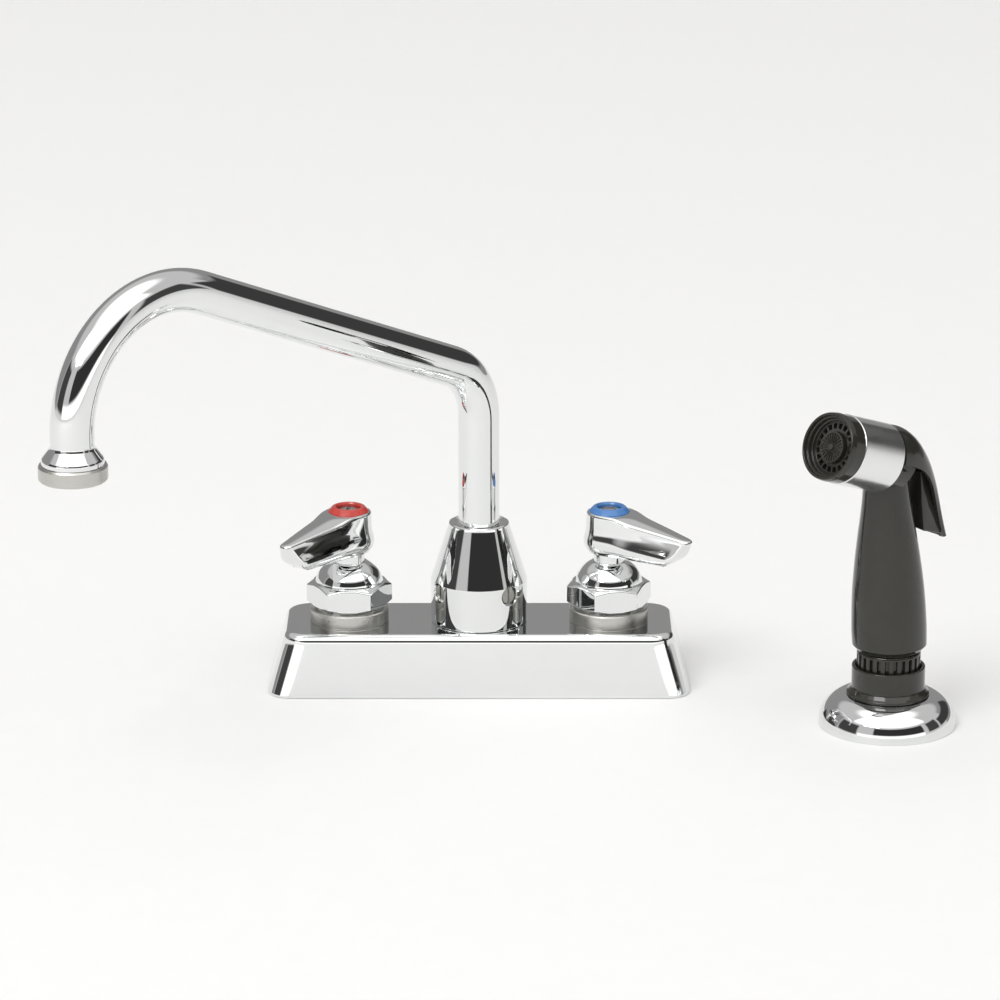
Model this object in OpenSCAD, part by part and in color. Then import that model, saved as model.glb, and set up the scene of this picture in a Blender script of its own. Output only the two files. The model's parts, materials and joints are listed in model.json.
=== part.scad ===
// Deck-mounted centreset faucet for a kitchen workboard: a cast base, two quarter-turn valves with
// lever handles, a swinging high spout, a pressure diverter, and a hand spray in its own deck holder.
// Millimetres. X runs along the base to the right, Y to the back and Z up.
// The origin is on the deck, under the axis that the spout swings about.

/* [Base] */
// Distance between the axes of the two valves
valve_centres = 101.6; // [98:0.1:122]
// Length of the base at the deck
base_l = 165; // [158:0.5:200]
// Depth of the base at the deck
base_w = 51; // [50:0.5:66]
// Height of the base
base_h = 24.5; // [22:0.5:32]
// How far each end of the base leans in from deck to top
base_lean_x = 6.2; // [2:0.1:9]
// How far the front and back lean in from deck to top
base_lean_y = 3.2; // [2:0.1:9]
// Radius of the base's upright corners
base_corner_r = 9; // [6:0.5:12]
// Radius of the rounded edge around the top of the base
base_edge_r = 3.3; // [1:0.1:4]
// Wall thickness of the base casting
base_wall = 3; // [2:0.5:4]

/* [Valves] */
// Distance across the flats of the valve bonnet
bonnet_flats = 29.1; // [27:0.1:34]
// Height of the bonnet's hexagon
hex_h = 9.3; // [6:0.1:12]
// Radius of the bonnet's dome at its foot
dome_r = 13.25; // [12.5:0.05:14]
// Height of the bonnet's dome above the hexagon
dome_h = 8.1; // [6:0.1:10]
// Height of the satin ring under the bonnet
spacer_h = 5.5; // [3:0.1:8]
// Radius of the satin ring under the bonnet
spacer_r = 15.4; // [14:0.1:17]
// Radius of the valve cartridge's thread
cartridge_r = 11.5; // [11:0.1:12.5]
// Radius of the valve stem
stem_r = 6; // [5:0.1:6.5]
// Height of the stem that shows between bonnet and handle
collar_h = 4.6; // [3:0.1:8]

/* [Handles] */
// Reach of a lever from the axis of its stem
lever_l = 40; // [32:0.5:60]
// Width of a lever at its tip
lever_tip_w = 10; // [8:0.5:14]
// Width of a lever where it leaves the hub
lever_root_w = 14; // [12:0.5:17]
// Height of the handle's hub
lever_h = 15.8; // [14:0.1:20]
// Radius of the handle's hub
lever_hub_r = 9.7; // [9:0.1:11]
// Radius of the coloured index ring
index_r = 7.9; // [7:0.1:8.2]
// Way the closed hot lever points, anticlockwise from +X
hot_heading = 232; // [200:1:260]
// Way the closed cold lever points, anticlockwise from +X
cold_heading = 321; // [280:1:340]

/* [Spout] */
// Reach of the spout from its axis to the middle of its outlet
spout_reach = 203.2; // [160:0.1:305]
// Height of the outlet above the deck
outlet_z = 124.5; // [110:0.5:160]
// Height of the lower bend's corner above the top of the base
elbow_h = 99.5; // [95:0.5:140]
// Rise of the arm from the lower corner to the upper one
arm_rise = 83.6; // [70:0.5:110]
// Radius of the spout tube
spout_r = 8; // [7:0.1:9]
// Wall thickness of the spout tube
spout_wall = 1.2; // [0.8:0.1:2]
// Bend radius over the hub
bend_low_r = 25; // [20:0.5:40]
// Bend radius over the outlet
bend_high_r = 45; // [30:0.5:60]
// Radius of the ring around the outlet
outlet_r = 12.5; // [12:0.1:14]
// Way the spout points, anticlockwise from +X
spout_heading = 225; // [180:1:360]
// Radius of the hub that the spout turns in
hub_r = 18.85; // [18:0.05:22]
// Height of the hub's straight part
hub_foot_h = 17.1; // [16:0.1:22]
// Height of the hub's cone
hub_cone_h = 23; // [20:0.5:30]

/* [Spray] */
// Place of the spray holder to the right of the spout's axis
spray_x = 156.4; // [130:0.1:220]
// Place of the spray holder behind the spout's axis
spray_y = -52.4; // [-80:0.1:40]
// Way the spray head points, anticlockwise from +X
spray_heading = 220; // [0:1:360]
// Radius of the holder's deck flange
flange_r = 26.25; // [24:0.25:32]
// Height of the flange's dome
flange_h = 12.3; // [9:0.1:16]
// Radius of the holder's cup
cup_r = 14; // [13.6:0.1:16]
// Height of the cup's rim above the deck
cup_top = 23.7; // [21:0.1:28]
// Height of the handle's lower end above the deck
grip_z = 30; // [28:0.5:36]
// Length of the grip up to the axis of the head
grip_l = 74.6; // [66:0.1:90]
// Largest radius of the grip
grip_r = 14.5; // [12.8:0.1:16]
// Tilt of the spray head above the horizontal
head_tilt = 19.4; // [0:0.1:25]
// Radius of the bright band round the spray head
band_r = 13.25; // [12.8:0.05:14.5]
// Length of the bright band
band_l = 21.6; // [16:0.1:26]
// Travel of the trigger in degrees
trigger_travel = 8; // [4:0.5:8]

/* [Under the deck] */
// Length of the supply shanks below the deck
shank_l = 50; // [36:1:75]
// Radius of a supply shank
shank_r = 10.45; // [10:0.05:11]
// Thickness of the deck that the nuts clamp
deck_t = 12; // [3:1:20]
// Radius of the spray hose outlet
nipple_r = 6.85; // [6:0.05:7.5]

/* [Hidden] */
$fn = 64;

// Fits
run_gap = 0.05;
face_gap = 0.05;
loose_gap = 0.3;

// Levels of the valves, from the bottom up
chamber_z = 8;
shank_top = 6.5;
seal_h = 1.2;
disc_h = 3;
disc_r = cartridge_r - 2.4;
flange_t = 2.7;
fixed_disc_z = chamber_z + seal_h;
turning_disc_z = fixed_disc_z + disc_h + face_gap;
stem_foot_z = turning_disc_z + disc_h;
shoulder_z = stem_foot_z + flange_t + 0.2;
neck_h = 1;
hex_z = base_h + spacer_h + neck_h;
dome_z = hex_z + hex_h;
collar_z = dome_z + dome_h;
lever_z = collar_z + collar_h;
lever_top = lever_z + lever_h;
valve_x = valve_centres / 2;
port_r = 2.4;
port_x = 4.8;
outlet_port_r = 1.6;
square_w = 6.4;
screw_head_r = 4.3;
ring_bore_r = screw_head_r + 0.3;
ring_seat_h = 2.5;
screw_seat_z = lever_top - ring_seat_h - 1.3;

// Water way of the base
gallery_z = 11;
gallery_r = 3.2;
boss_r = shank_r + 4.5;
centre_boss_r = 16;
spigot_r = 12;
spigot_z = 12.5;
diverter_r = 9;
diverter_z = 6;

// Hub and swivel
hub_top = base_h + hub_foot_h + hub_cone_h;
hub_lip_r = spout_r + 3.65;
sleeve_r = spout_r + 1.5;
swivel_z = base_h + 3.7;
swivel_top = swivel_z + 18;
groove_z = base_h + 13.8;
hub_screw_r = 3;
hub_screw_tip_r = 1.4;
hub_recess_d = 2.2;
hub_screw_turns = [310, 213];
guide_z = 16;
plunger_z = 11;
plunger_travel = 2;

// Spout
elbow_z = base_h + elbow_h;
arm_slope = atan(arm_rise / spout_reach);
low_turn = 90 - arm_slope;
high_turn = 90 + arm_slope;
low_tangent = bend_low_r * tan(low_turn / 2);
high_tangent = bend_high_r * tan(high_turn / 2);
arm_l = spout_reach / cos(arm_slope) - low_tangent - high_tangent;
drop_top = elbow_z + arm_rise - high_tangent;
bend_thinning = 0.06;
bend_lap = 0.8;
ring_h = 6;
bell_h = 6.5;
bell_r = outlet_r - 1.1;
collar_seat_r = outlet_r - 1.2;
thread_r = outlet_r - 2.4;
screen_r = 8.2;
bell_z = outlet_z + ring_h;

// Spray holder
cup_wall = 1.4;
cup_foot_r = cup_r + 1.9;
cup_foot_h = 2.2;
cup_floor = flange_h + 4.7;
cup_shank_r = 13.2;
cup_bore_r = 9;
flange_wall = 1.5;
holder_shank_l = 40;

// Spray coupling and inlet
coupling_r = cup_r - cup_wall - 0.4;
rib_count = 24;
rib_w = 1.5;
inlet_r = 5;
inlet_bore_r = 3;
inlet_thread_r = 6.5;
inlet_top = grip_z + 14;
inlet_bottom = -18;

// Spray head, in a frame whose X runs along the barrel
head_z = grip_z + grip_l;
barrel_r = band_r - 1.2;
band_s = 8.5;
nose_s = band_s + band_l;
nose_l = 7.2;
chamber_r = 8;
stub_r = 9;
stub_s = -3;
saddle_s = 1;
saddle_n = -2.4;
seat_s = 12;
valve_rod_r = 2;
pin_s = -0.5;
pin_n = 6.5;
pin_r = 1.2;
hood_r = band_r - 0.15;
hood_w = 14;
web_w = 8;

// Nuts and thread reliefs under the deck
nut_h = 8;
washer_t = 2;
relief_w = 1;
relief_d = 0.6;
nut_clearance = 1;
shank_relief_z = -deck_t - washer_t - nut_h - nut_clearance - relief_w;
holder_relief_z = -deck_t - nut_h - nut_clearance - relief_w;
nipple_relief_z = -1.5;
nipple_bottom = -32;
nipple_top = 4;

// Points of an arc: centre, radii, first and last angle, steps
function arc(cx, cy, rx, ry, a0, a1, n = 12) =
    [for (i = [0:n]) [cx + rx * cos(a0 + (a1 - a0) * i / n), cy + ry * sin(a0 + (a1 - a0) * i / n)]];

// A tube about Z between two heights; a zero inner radius makes it solid
module ring(r_out, r_in, z0, z1) {
    difference() {
        translate([0, 0, z0]) cylinder(r = r_out, h = z1 - z0);
        if (r_in > 0) translate([0, 0, z0 - 1]) cylinder(r = r_in, h = z1 - z0 + 2);
    }
}

// A seal of round section about Z
module o_ring(r_mid, r_wire, z) {
    translate([0, 0, z]) rotate_extrude() translate([r_mid, 0]) circle(r = r_wire);
}

// A wound spring about Z, swept by its own formula, with the wire's section always in a radial plane
module coil_spring(r, wire_r, z0, z1, turns) {
    steps = turns * 14;
    sides = 6;
    rise = z1 - z0 - 2 * wire_r;
    points = [for (i = [0:steps], k = [0:sides - 1])
        let (a = 360 * turns * i / steps, b = 360 * k / sides, q = r + wire_r * cos(b))
        [q * cos(a), q * sin(a), z0 + wire_r + rise * i / steps + wire_r * sin(b)]];
    walls = [for (i = [0:steps - 1], k = [0:sides - 1])
        let (n = (k + 1) % sides)
        [i * sides + k, i * sides + n, (i + 1) * sides + n, (i + 1) * sides + k]];
    first = [for (k = [sides - 1:-1:0]) k];
    last = [for (k = [0:sides - 1]) steps * sides + k];
    polyhedron(points = points, faces = concat([first], walls, [last]));
}

module at_hot() {
    translate([-valve_x, 0, 0]) children();
}

module at_cold() {
    translate([valve_x, 0, 0]) children();
}

module at_both() {
    at_hot() children();
    at_cold() children();
}

module at_spray() {
    translate([spray_x, spray_y, 0]) rotate([0, 0, spray_heading]) children();
}

// The barrel's frame: X forward along the barrel, Z square to it
module at_head() {
    at_spray() translate([0, 0, head_z]) rotate([0, -head_tilt, 0]) children();
}

// A tube along the barrel between two places on it
module along(r_out, r_in, s0, s1) {
    rotate([0, 90, 0]) ring(r_out, r_in, s0, s1);
}

// ---- Base ----

// The drafted block of the base, shrunk by a wall, with a rounded top edge
module base_block(wall) {
    edge = max(base_edge_r - wall, 0.5);
    top = base_h - wall;
    corner = base_corner_r - wall / 2;
    levels = [0, 30, 60, 90];
    hull() {
        for (sx = [-1, 1], sy = [-1, 1]) {
            translate([sx * (base_l / 2 - wall - corner), sy * (base_w / 2 - wall - corner), 0])
                cylinder(r = corner, h = 0.5, $fn = 32);
            for (a = levels)
                translate([sx * (base_l / 2 - base_lean_x - wall - corner),
                        sy * (base_w / 2 - base_lean_y - wall - corner), top - edge + edge * sin(a) - 0.1])
                    cylinder(r = corner - edge * (1 - cos(a)), h = 0.1, $fn = 32);
        }
    }
}

module faucet_body() {
    color("silver") difference() {
        union() {
            difference() {
                base_block(0);
                translate([0, 0, -0.6]) base_block(base_wall);
            }
            at_both() cylinder(r = boss_r, h = base_h - 1);
            cylinder(r = centre_boss_r, h = base_h - 1);
            translate([-valve_x, 0, gallery_z]) rotate([0, 90, 0])
                cylinder(r = gallery_r + 3, h = valve_centres);
        }
        at_both() {
            translate([0, 0, chamber_z]) cylinder(r = cartridge_r, h = base_h);
            translate([0, 0, -1]) cylinder(r = shank_r, h = shank_top + 1);
            translate([-port_x, 0, 0]) cylinder(r = port_r, h = base_h);
            translate([port_x, 0, 0]) cylinder(r = port_r, h = base_h);
        }
        translate([0, 0, spigot_z]) cylinder(r = spigot_r, h = base_h);
        translate([0, 0, diverter_z]) cylinder(r = diverter_r, h = base_h);
        translate([0, 0, -1]) cylinder(r = nipple_r, h = nipple_top + 1);
        cylinder(r = nipple_r - 2, h = base_h);
        translate([-valve_x, 0, gallery_z]) rotate([0, 90, 0])
            cylinder(r = gallery_r, h = valve_centres);
        translate([0, 0, -1]) linear_extrude(2.5) gasket_outline();
    }
}

// The seal's outline inside the rim of the base
module gasket_outline() {
    l = base_l - 2 * base_wall;
    w = base_w - 2 * base_wall;
    r = base_corner_r - base_wall / 2;
    square([l - 2 * r, w], center = true);
    square([l, w - 2 * r], center = true);
    for (sx = [-1, 1], sy = [-1, 1])
        translate([sx * (l / 2 - r), sy * (w / 2 - r)]) circle(r = r);
}

module base_gasket() {
    color("dimgray") difference() {
        linear_extrude(1.5) gasket_outline();
        at_both() translate([0, 0, -1]) cylinder(r = shank_r, h = 4);
        translate([0, 0, -1]) cylinder(r = nipple_r, h = 4);
    }
}

module shank() {
    difference() {
        ring(shank_r, shank_r - 3, -shank_l, shank_top);
        ring(shank_r + 1, shank_r - relief_d, shank_relief_z, shank_relief_z + relief_w);
    }
}

module hot_shank() {
    color("goldenrod") at_hot() shank();
}

module cold_shank() {
    color("goldenrod") at_cold() shank();
}

module shank_washers() {
    color("gray") at_both() ring(shank_r + 9, shank_r, -deck_t - washer_t, -deck_t);
}

module shank_locknuts() {
    color("gainsboro") at_both() difference() {
        translate([0, 0, -deck_t - washer_t - nut_h]) cylinder(r = shank_r + 7, h = nut_h, $fn = 6);
        translate([0, 0, -deck_t - washer_t - nut_h - 1]) cylinder(r = shank_r, h = nut_h + 2);
    }
}

module spray_outlet_nipple() {
    color("goldenrod") difference() {
        ring(nipple_r, nipple_r - 2, nipple_bottom, nipple_top);
        ring(nipple_r + 1, nipple_r - relief_d, nipple_relief_z, nipple_relief_z + relief_w);
    }
}

// ---- Valves ----

module spacer_ring() {
    ring(spacer_r, cartridge_r, base_h, base_h + spacer_h);
}

module hot_spacer_ring() {
    color("darkgray") at_hot() spacer_ring();
}

module cold_spacer_ring() {
    color("darkgray") at_cold() spacer_ring();
}

// The bonnet: a threaded sleeve, a hexagon with turned corners, and a dome
module bonnet(turn) {
    corner_r = bonnet_flats / 2 / cos(30);
    cut_r = bonnet_flats / 2 - 0.2;
    cut_w = corner_r - cut_r + 0.4;
    cut_h = cut_w * 0.7;
    dome_foot = dome_z - 0.8;
    dome_end = acos((stem_r + 0.6) / dome_r);
    dome_rise = (collar_z - dome_foot) / sin(dome_end);
    difference() {
        union() {
            translate([0, 0, chamber_z]) cylinder(r = cartridge_r, h = hex_z - chamber_z);
            translate([0, 0, hex_z - neck_h]) cylinder(r = cut_r - 1, h = neck_h);
            intersection() {
                translate([0, 0, hex_z]) rotate([0, 0, turn])
                    cylinder(r = corner_r, h = hex_h, $fn = 6);
                rotate_extrude() polygon([[0, hex_z], [cut_r, hex_z], [cut_r + cut_w, hex_z + cut_h],
                    [cut_r + cut_w, dome_z - cut_h], [cut_r, dome_z], [0, dome_z]]);
            }
            rotate_extrude() polygon(concat([[0, dome_foot], [dome_r - 0.1, dome_foot]],
                arc(0, dome_foot, dome_r, dome_rise, 4, dome_end, 10), [[0, collar_z]]));
        }
        translate([0, 0, chamber_z - 1]) cylinder(r = disc_r, h = shoulder_z - chamber_z + 1);
        cylinder(r = stem_r + run_gap, h = collar_z + 1);
        for (a = [45:90:315])
            rotate([0, 0, a]) translate([0, 0, turning_disc_z + 1]) rotate([0, 90, 0])
                cylinder(r = outlet_port_r, h = 20);
    }
}

module hot_bonnet() {
    color("silver") at_hot() bonnet(1);
}

module cold_bonnet() {
    color("silver") at_cold() bonnet(10);
}

module seat_seal() {
    difference() {
        ring(disc_r, 0, chamber_z, fixed_disc_z);
        for (s = [-1, 1]) translate([s * port_x, 0, 0]) cylinder(r = port_r, h = base_h);
    }
}

module hot_seat_seal() {
    color("black") at_hot() seat_seal();
}

module cold_seat_seal() {
    color("black") at_cold() seat_seal();
}

// A ceramic disc with two ports, turned square to the way its valve opens
module ceramic_disc(r, z, turn) {
    difference() {
        ring(r, 0, z, z + disc_h);
        for (s = [0, 180]) rotate([0, 0, turn + s]) translate([port_x, 0, 0])
            cylinder(r = port_r, h = base_h);
    }
}

module hot_fixed_disc() {
    color("white") at_hot() ceramic_disc(disc_r, fixed_disc_z, 0);
}

module cold_fixed_disc() {
    color("white") at_cold() ceramic_disc(disc_r, fixed_disc_z, 0);
}

module hot_turning_disc() {
    color("ivory") at_hot() ceramic_disc(disc_r - run_gap, turning_disc_z, 90);
}

module cold_turning_disc() {
    color("ivory") at_cold() ceramic_disc(disc_r - run_gap, turning_disc_z, 90);
}

stem_ring_z = [hex_z - 1, hex_z + 4];
stem_groove_r = stem_r - 1.5;

module stem(heading) {
    difference() {
        union() {
            ring(disc_r - 0.1, 0, stem_foot_z, stem_foot_z + flange_t);
            ring(stem_r, 0, stem_foot_z, lever_z);
            rotate([0, 0, heading]) translate([-square_w / 2, -square_w / 2, lever_z])
                cube([square_w, square_w, screw_seat_z - lever_z]);
        }
        for (z = stem_ring_z) ring(stem_r + 1, stem_groove_r, z - 0.95, z + 0.95);
        translate([0, 0, lever_z - 8]) cylinder(r = 1.8, h = 40);
    }
}

module hot_stem() {
    color("goldenrod") at_hot() stem(hot_heading);
}

module cold_stem() {
    color("goldenrod") at_cold() stem(cold_heading);
}

module stem_rings() {
    for (z = stem_ring_z) o_ring(stem_r - 0.72, 0.75, z);
}

module hot_stem_rings() {
    color("black") at_hot() stem_rings();
}

module cold_stem_rings() {
    color("black") at_cold() stem_rings();
}

// ---- Handles ----

// A lever along X: its side view and its plan are both cut from one blank, then joined to the hub
module lever(heading) {
    side = concat([[0, lever_z + 0.2], [lever_l - 9, lever_z - 0.3]],
        arc(lever_l - 9, lever_z + 2.7, 3, 3, -90, -38, 4),
        arc(lever_l - 1.2, lever_top - 6.4, 1.2, 1.2, -38, 78, 4), [[0, lever_top - 0.9]]);
    tip_r = 3;
    plan = concat([[0, -lever_root_w / 2]],
        arc(lever_l - tip_r, tip_r - lever_tip_w / 2, tip_r, tip_r, -86, 0, 6),
        arc(lever_l - tip_r, lever_tip_w / 2 - tip_r, tip_r, tip_r, 0, 86, 6), [[0, lever_root_w / 2]]);
    hub = [[0, lever_z], [lever_hub_r - 1.4, lever_z], [lever_hub_r, lever_z + 2.5],
        [lever_hub_r, lever_z + 5], [lever_hub_r - 0.3, lever_top - 0.8], [lever_hub_r - 1.1, lever_top],
        [0, lever_top]];
    difference() {
        union() {
            rotate_extrude() polygon(hub);
            rotate([0, 0, heading]) intersection() {
                rotate([90, 0, 0]) translate([0, 0, -lever_root_w])
                    linear_extrude(2 * lever_root_w) polygon(side);
                translate([0, 0, lever_z - 1]) linear_extrude(lever_h) polygon(plan);
            }
        }
        rotate([0, 0, heading]) translate([-square_w / 2, -square_w / 2, lever_z - 1])
            cube([square_w, square_w, lever_h]);
        translate([0, 0, screw_seat_z]) cylinder(r = ring_bore_r, h = lever_h);
        translate([0, 0, lever_top - ring_seat_h]) cylinder(r = index_r, h = lever_h);
    }
}

module hot_lever() {
    color("silver") at_hot() lever(hot_heading);
}

module cold_lever() {
    color("silver") at_cold() lever(cold_heading);
}

// A crowned ring that sits in the top of the hub
module index_ring() {
    seat = lever_top - ring_seat_h;
    rotate_extrude() polygon(concat([[ring_bore_r, seat], [index_r, seat], [index_r, lever_top + 0.4]],
        arc(index_r - 2, lever_top + 0.4, 2, 1.7, 10, 90, 6),
        [[ring_bore_r + 0.6, lever_top + 1.5], [ring_bore_r, lever_top + 0.6]]));
}

module hot_index_ring() {
    color("red") at_hot() index_ring();
}

module cold_index_ring() {
    color("steelblue") at_cold() index_ring();
}

module lever_screw() {
    difference() {
        union() {
            ring(screw_head_r, 0, screw_seat_z, screw_seat_z + 2.8);
            ring(1.8, 0, lever_z - 6, screw_seat_z);
        }
        translate([-0.6, -10, screw_seat_z + 1.8]) cube([1.2, 20, 3]);
    }
}

module hot_lever_screw() {
    color("lightgray") at_hot() lever_screw();
}

module cold_lever_screw() {
    color("lightgray") at_cold() lever_screw();
}

// ---- Hub and diverter ----

module spout_hub() {
    color("silver") difference() {
        union() {
            rotate_extrude() polygon([[0, base_h], [hub_r - 0.4, base_h], [hub_r, base_h + 0.4],
                [hub_r, base_h + hub_foot_h], [hub_lip_r + 0.3, hub_top - 1.4], [hub_lip_r, hub_top - 0.4],
                [hub_lip_r - 0.5, hub_top], [0, hub_top]]);
            translate([0, 0, spigot_z]) cylinder(r = spigot_r, h = base_h - spigot_z);
        }
        translate([0, 0, swivel_z - 0.2]) cylinder(r = sleeve_r + run_gap, h = hub_top);
        cylinder(r = spout_r - 1, h = hub_top);
        at_hub_screws() {
            cylinder(r = hub_screw_r, h = 2 * hub_r);
            translate([0, 0, hub_r - hub_recess_d]) cylinder(r = hub_screw_r + 0.9, h = 2 * hub_recess_d);
        }
    }
}

// Each hub screw's own frame: Z outwards along the screw
module at_hub_screws() {
    for (a = hub_screw_turns)
        rotate([0, 0, a]) translate([0, 0, groove_z]) rotate([0, 90, 0]) children();
}

module hub_screws() {
    color("lightgray") at_hub_screws() difference() {
        union() {
            ring(hub_screw_r, 0, sleeve_r + 0.6, hub_r - 1);
            ring(hub_screw_tip_r, 0, sleeve_r - 0.7, sleeve_r + 1);
        }
        translate([-5, -0.5, hub_r - hub_recess_d]) cube([10, 1, 5]);
    }
}

module swivel_bushing() {
    color("white") ring(sleeve_r + run_gap, spout_r + run_gap, hub_top - 9, hub_top - 0.8);
}

module diverter_guide() {
    color("ivory") difference() {
        ring(spout_r - 1, 2.05, guide_z, guide_z + 2);
        for (a = [0:90:270]) rotate([0, 0, a]) translate([4.4, 0, 0]) cylinder(r = 1.4, h = 40);
    }
}

module diverter_plunger() {
    color("ivory") {
        ring(6.4, 0, plunger_z, plunger_z + 1.5);
        ring(2, 0, plunger_z + 1, guide_z + 5);
    }
}

module diverter_spring() {
    color("gray") coil_spring(5.2, 0.4, diverter_z, plunger_z, 4);
}

// ---- Spout ----

// One straight piece of a round bar about Z
module bar(r, l) {
    cylinder(r = r, h = l);
}

// One bend of a round bar in the XZ plane, from a first angle on
module bend(r, bend_r, from, turn) {
    rotate([90, 0, 0]) rotate([0, 0, from])
        rotate_extrude(angle = turn) translate([bend_r, 0]) circle(r = r);
}

// The spout's whole line as a bar: riser, lower bend, arm, upper bend and drop.
// A bend is a little thinner than the straights, as bent tube is, and starts inside their ends.
module spout_bar(r) {
    bent_r = r - bend_thinning;
    translate([0, 0, swivel_z]) bar(r, elbow_z - low_tangent - swivel_z + bend_lap);
    translate([bend_low_r, 0, elbow_z - low_tangent]) bend(bent_r, bend_low_r, 180 - low_turn, low_turn);
    translate([low_tangent * cos(arm_slope), 0, elbow_z + low_tangent * sin(arm_slope)])
        rotate([0, 90 - arm_slope, 0]) translate([0, 0, -bend_lap]) bar(r, arm_l + 2 * bend_lap);
    translate([spout_reach - bend_high_r, 0, drop_top]) bend(bent_r, bend_high_r, 0, high_turn);
    translate([spout_reach, 0, bell_z + 3]) bar(r, drop_top - bell_z - 3 + bend_lap);
}

module at_spout() {
    rotate([0, 0, spout_heading]) children();
}

module at_outlet() {
    at_spout() translate([spout_reach, 0, 0]) children();
}

// The bell at the foot of the drop, threaded inside for the aerator
module outlet_bell() {
    rotate_extrude() polygon([[spout_r - 2, bell_z + bell_h], [spout_r - 2, bell_z + 3],
        [thread_r, bell_z - 1], [thread_r, bell_z - 4], [collar_seat_r, bell_z - 4],
        [collar_seat_r, bell_z - 0.4], [bell_r, bell_z], [bell_r, bell_z + 1.2],
        [spout_r + 1.2, bell_z + 4.2], [spout_r, bell_z + bell_h]]);
}

module spout_tube() {
    color("silver") at_spout() difference() {
        union() {
            spout_bar(spout_r);
            translate([spout_reach, 0, 0]) outlet_bell();
        }
        spout_bar(spout_r - spout_wall);
    }
}

// The sleeve brazed on the spout's foot, with a groove for the hub screws and two for seals
swivel_ring_z = [swivel_z + 3, swivel_top - 3];

module swivel_sleeve() {
    color("goldenrod") difference() {
        ring(sleeve_r, spout_r, swivel_z, swivel_top);
        ring(sleeve_r + 1, sleeve_r - 0.9, groove_z - 1.6, groove_z + 1.6);
        for (z = swivel_ring_z) ring(sleeve_r + 1, sleeve_r - 1.15, z - 0.75, z + 0.75);
    }
}

module swivel_rings() {
    color("black") for (z = swivel_ring_z) o_ring(sleeve_r - 0.54, 0.56, z);
}

module outlet_ring() {
    color("darkgray") at_outlet() rotate_extrude() polygon([[collar_seat_r, outlet_z + 2],
        [collar_seat_r - 1, outlet_z + 1], [collar_seat_r - 1, outlet_z], [outlet_r - 0.7, outlet_z],
        [outlet_r, outlet_z + 0.7], [outlet_r, bell_z - 0.9], [outlet_r - 0.4, bell_z],
        [collar_seat_r, bell_z - 0.4]]);
}

module aerator_body() {
    color("dimgray") at_outlet() difference() {
        ring(thread_r, 7, outlet_z + 1.2, outlet_z + 5);
        translate([0, 0, outlet_z]) cylinder(r = screen_r, h = 2.4);
    }
}

module aerator_screen() {
    color("lightgray") at_outlet() difference() {
        ring(screen_r, 0, outlet_z + 1.6, outlet_z + 2.4);
        for (x = [-3:3], y = [-3:3]) if (norm([x, y]) < 3.3)
            translate([2 * x - 0.6, 2 * y - 0.6, outlet_z]) cube([1.2, 1.2, 5]);
    }
}

// ---- Spray holder ----

module holder_flange() {
    dome_w = flange_r - cup_foot_r;
    color("silver") at_spray() rotate_extrude() polygon(concat(
        [[cup_shank_r, flange_h], [cup_foot_r, flange_h]],
        arc(cup_foot_r, 2.2, dome_w, flange_h - 2.4, 78, 0, 12),
        [[flange_r, 0], [flange_r - flange_wall, 0]],
        arc(cup_foot_r, 2, dome_w - flange_wall, flange_h - 3.8, 0, 78, 12),
        [[cup_shank_r, flange_h - flange_wall]]));
}

module holder_gasket() {
    color("dimgray") at_spray() ring(flange_r - flange_wall - 0.1, cup_shank_r, 0, 2);
}

module holder_cup() {
    inner_r = cup_r - cup_wall;
    foot_top = flange_h + cup_foot_h;
    relief_r = cup_shank_r - relief_d;
    color("dimgray") at_spray() rotate_extrude() polygon([[cup_bore_r, -holder_shank_l],
        [cup_shank_r, -holder_shank_l], [cup_shank_r, holder_relief_z], [relief_r, holder_relief_z],
        [relief_r, holder_relief_z + relief_w], [cup_shank_r, holder_relief_z + relief_w],
        [cup_shank_r, flange_h], [cup_foot_r, flange_h], [cup_foot_r, foot_top - 0.5],
        [cup_foot_r - 0.5, foot_top], [cup_r, foot_top + 0.6], [cup_r, cup_top - 0.4],
        [cup_r - 0.4, cup_top], [inner_r + 0.3, cup_top], [inner_r, cup_top - 0.3],
        [inner_r, cup_floor], [cup_bore_r, cup_floor - 2]]);
}

module holder_locknut() {
    color("dimgray") at_spray() difference() {
        translate([0, 0, -deck_t - nut_h]) cylinder(r = cup_shank_r + 8, h = nut_h, $fn = 6);
        translate([0, 0, -deck_t - nut_h - 1]) cylinder(r = cup_shank_r, h = nut_h + 2);
    }
}

// ---- Spray coupling ----

// The ribbed collar that joins the hose to the grip and rests in the cup
module spray_coupling() {
    color("dimgray") at_spray() difference() {
        union() {
            ring(coupling_r - 0.9, 0, cup_floor + 0.3, grip_z - loose_gap);
            for (i = [0:rib_count - 1]) rotate([0, 0, 360 * i / rib_count])
                translate([coupling_r - 2, -rib_w / 2, cup_floor + 1]) cube([2, rib_w, grip_z - cup_floor - 2]);
            ring(coupling_r, 0, grip_z - 1.5, grip_z - loose_gap);
            ring(coupling_r, 0, cup_floor + 0.3, cup_floor + 2);
        }
        translate([0, 0, cup_floor - 5]) cylinder(r = inlet_r, h = 40);
    }
}

module spray_inlet_nipple() {
    color("goldenrod") at_spray() difference() {
        union() {
            ring(inlet_r, 0, inlet_bottom, inlet_top);
            ring(inlet_thread_r, 0, inlet_bottom, inlet_bottom + 14);
        }
        translate([0, 0, inlet_bottom - 1]) cylinder(r = inlet_bore_r, h = inlet_top - inlet_bottom + 2);
        ring(inlet_r + 1, inlet_r - 1.3, inlet_top - 5, inlet_top - 3.2);
    }
}

module spray_inlet_ring() {
    color("black") at_spray() o_ring(inlet_r - 0.56, 0.58, inlet_top - 4.1);
}

// ---- Spray head ----

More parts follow.
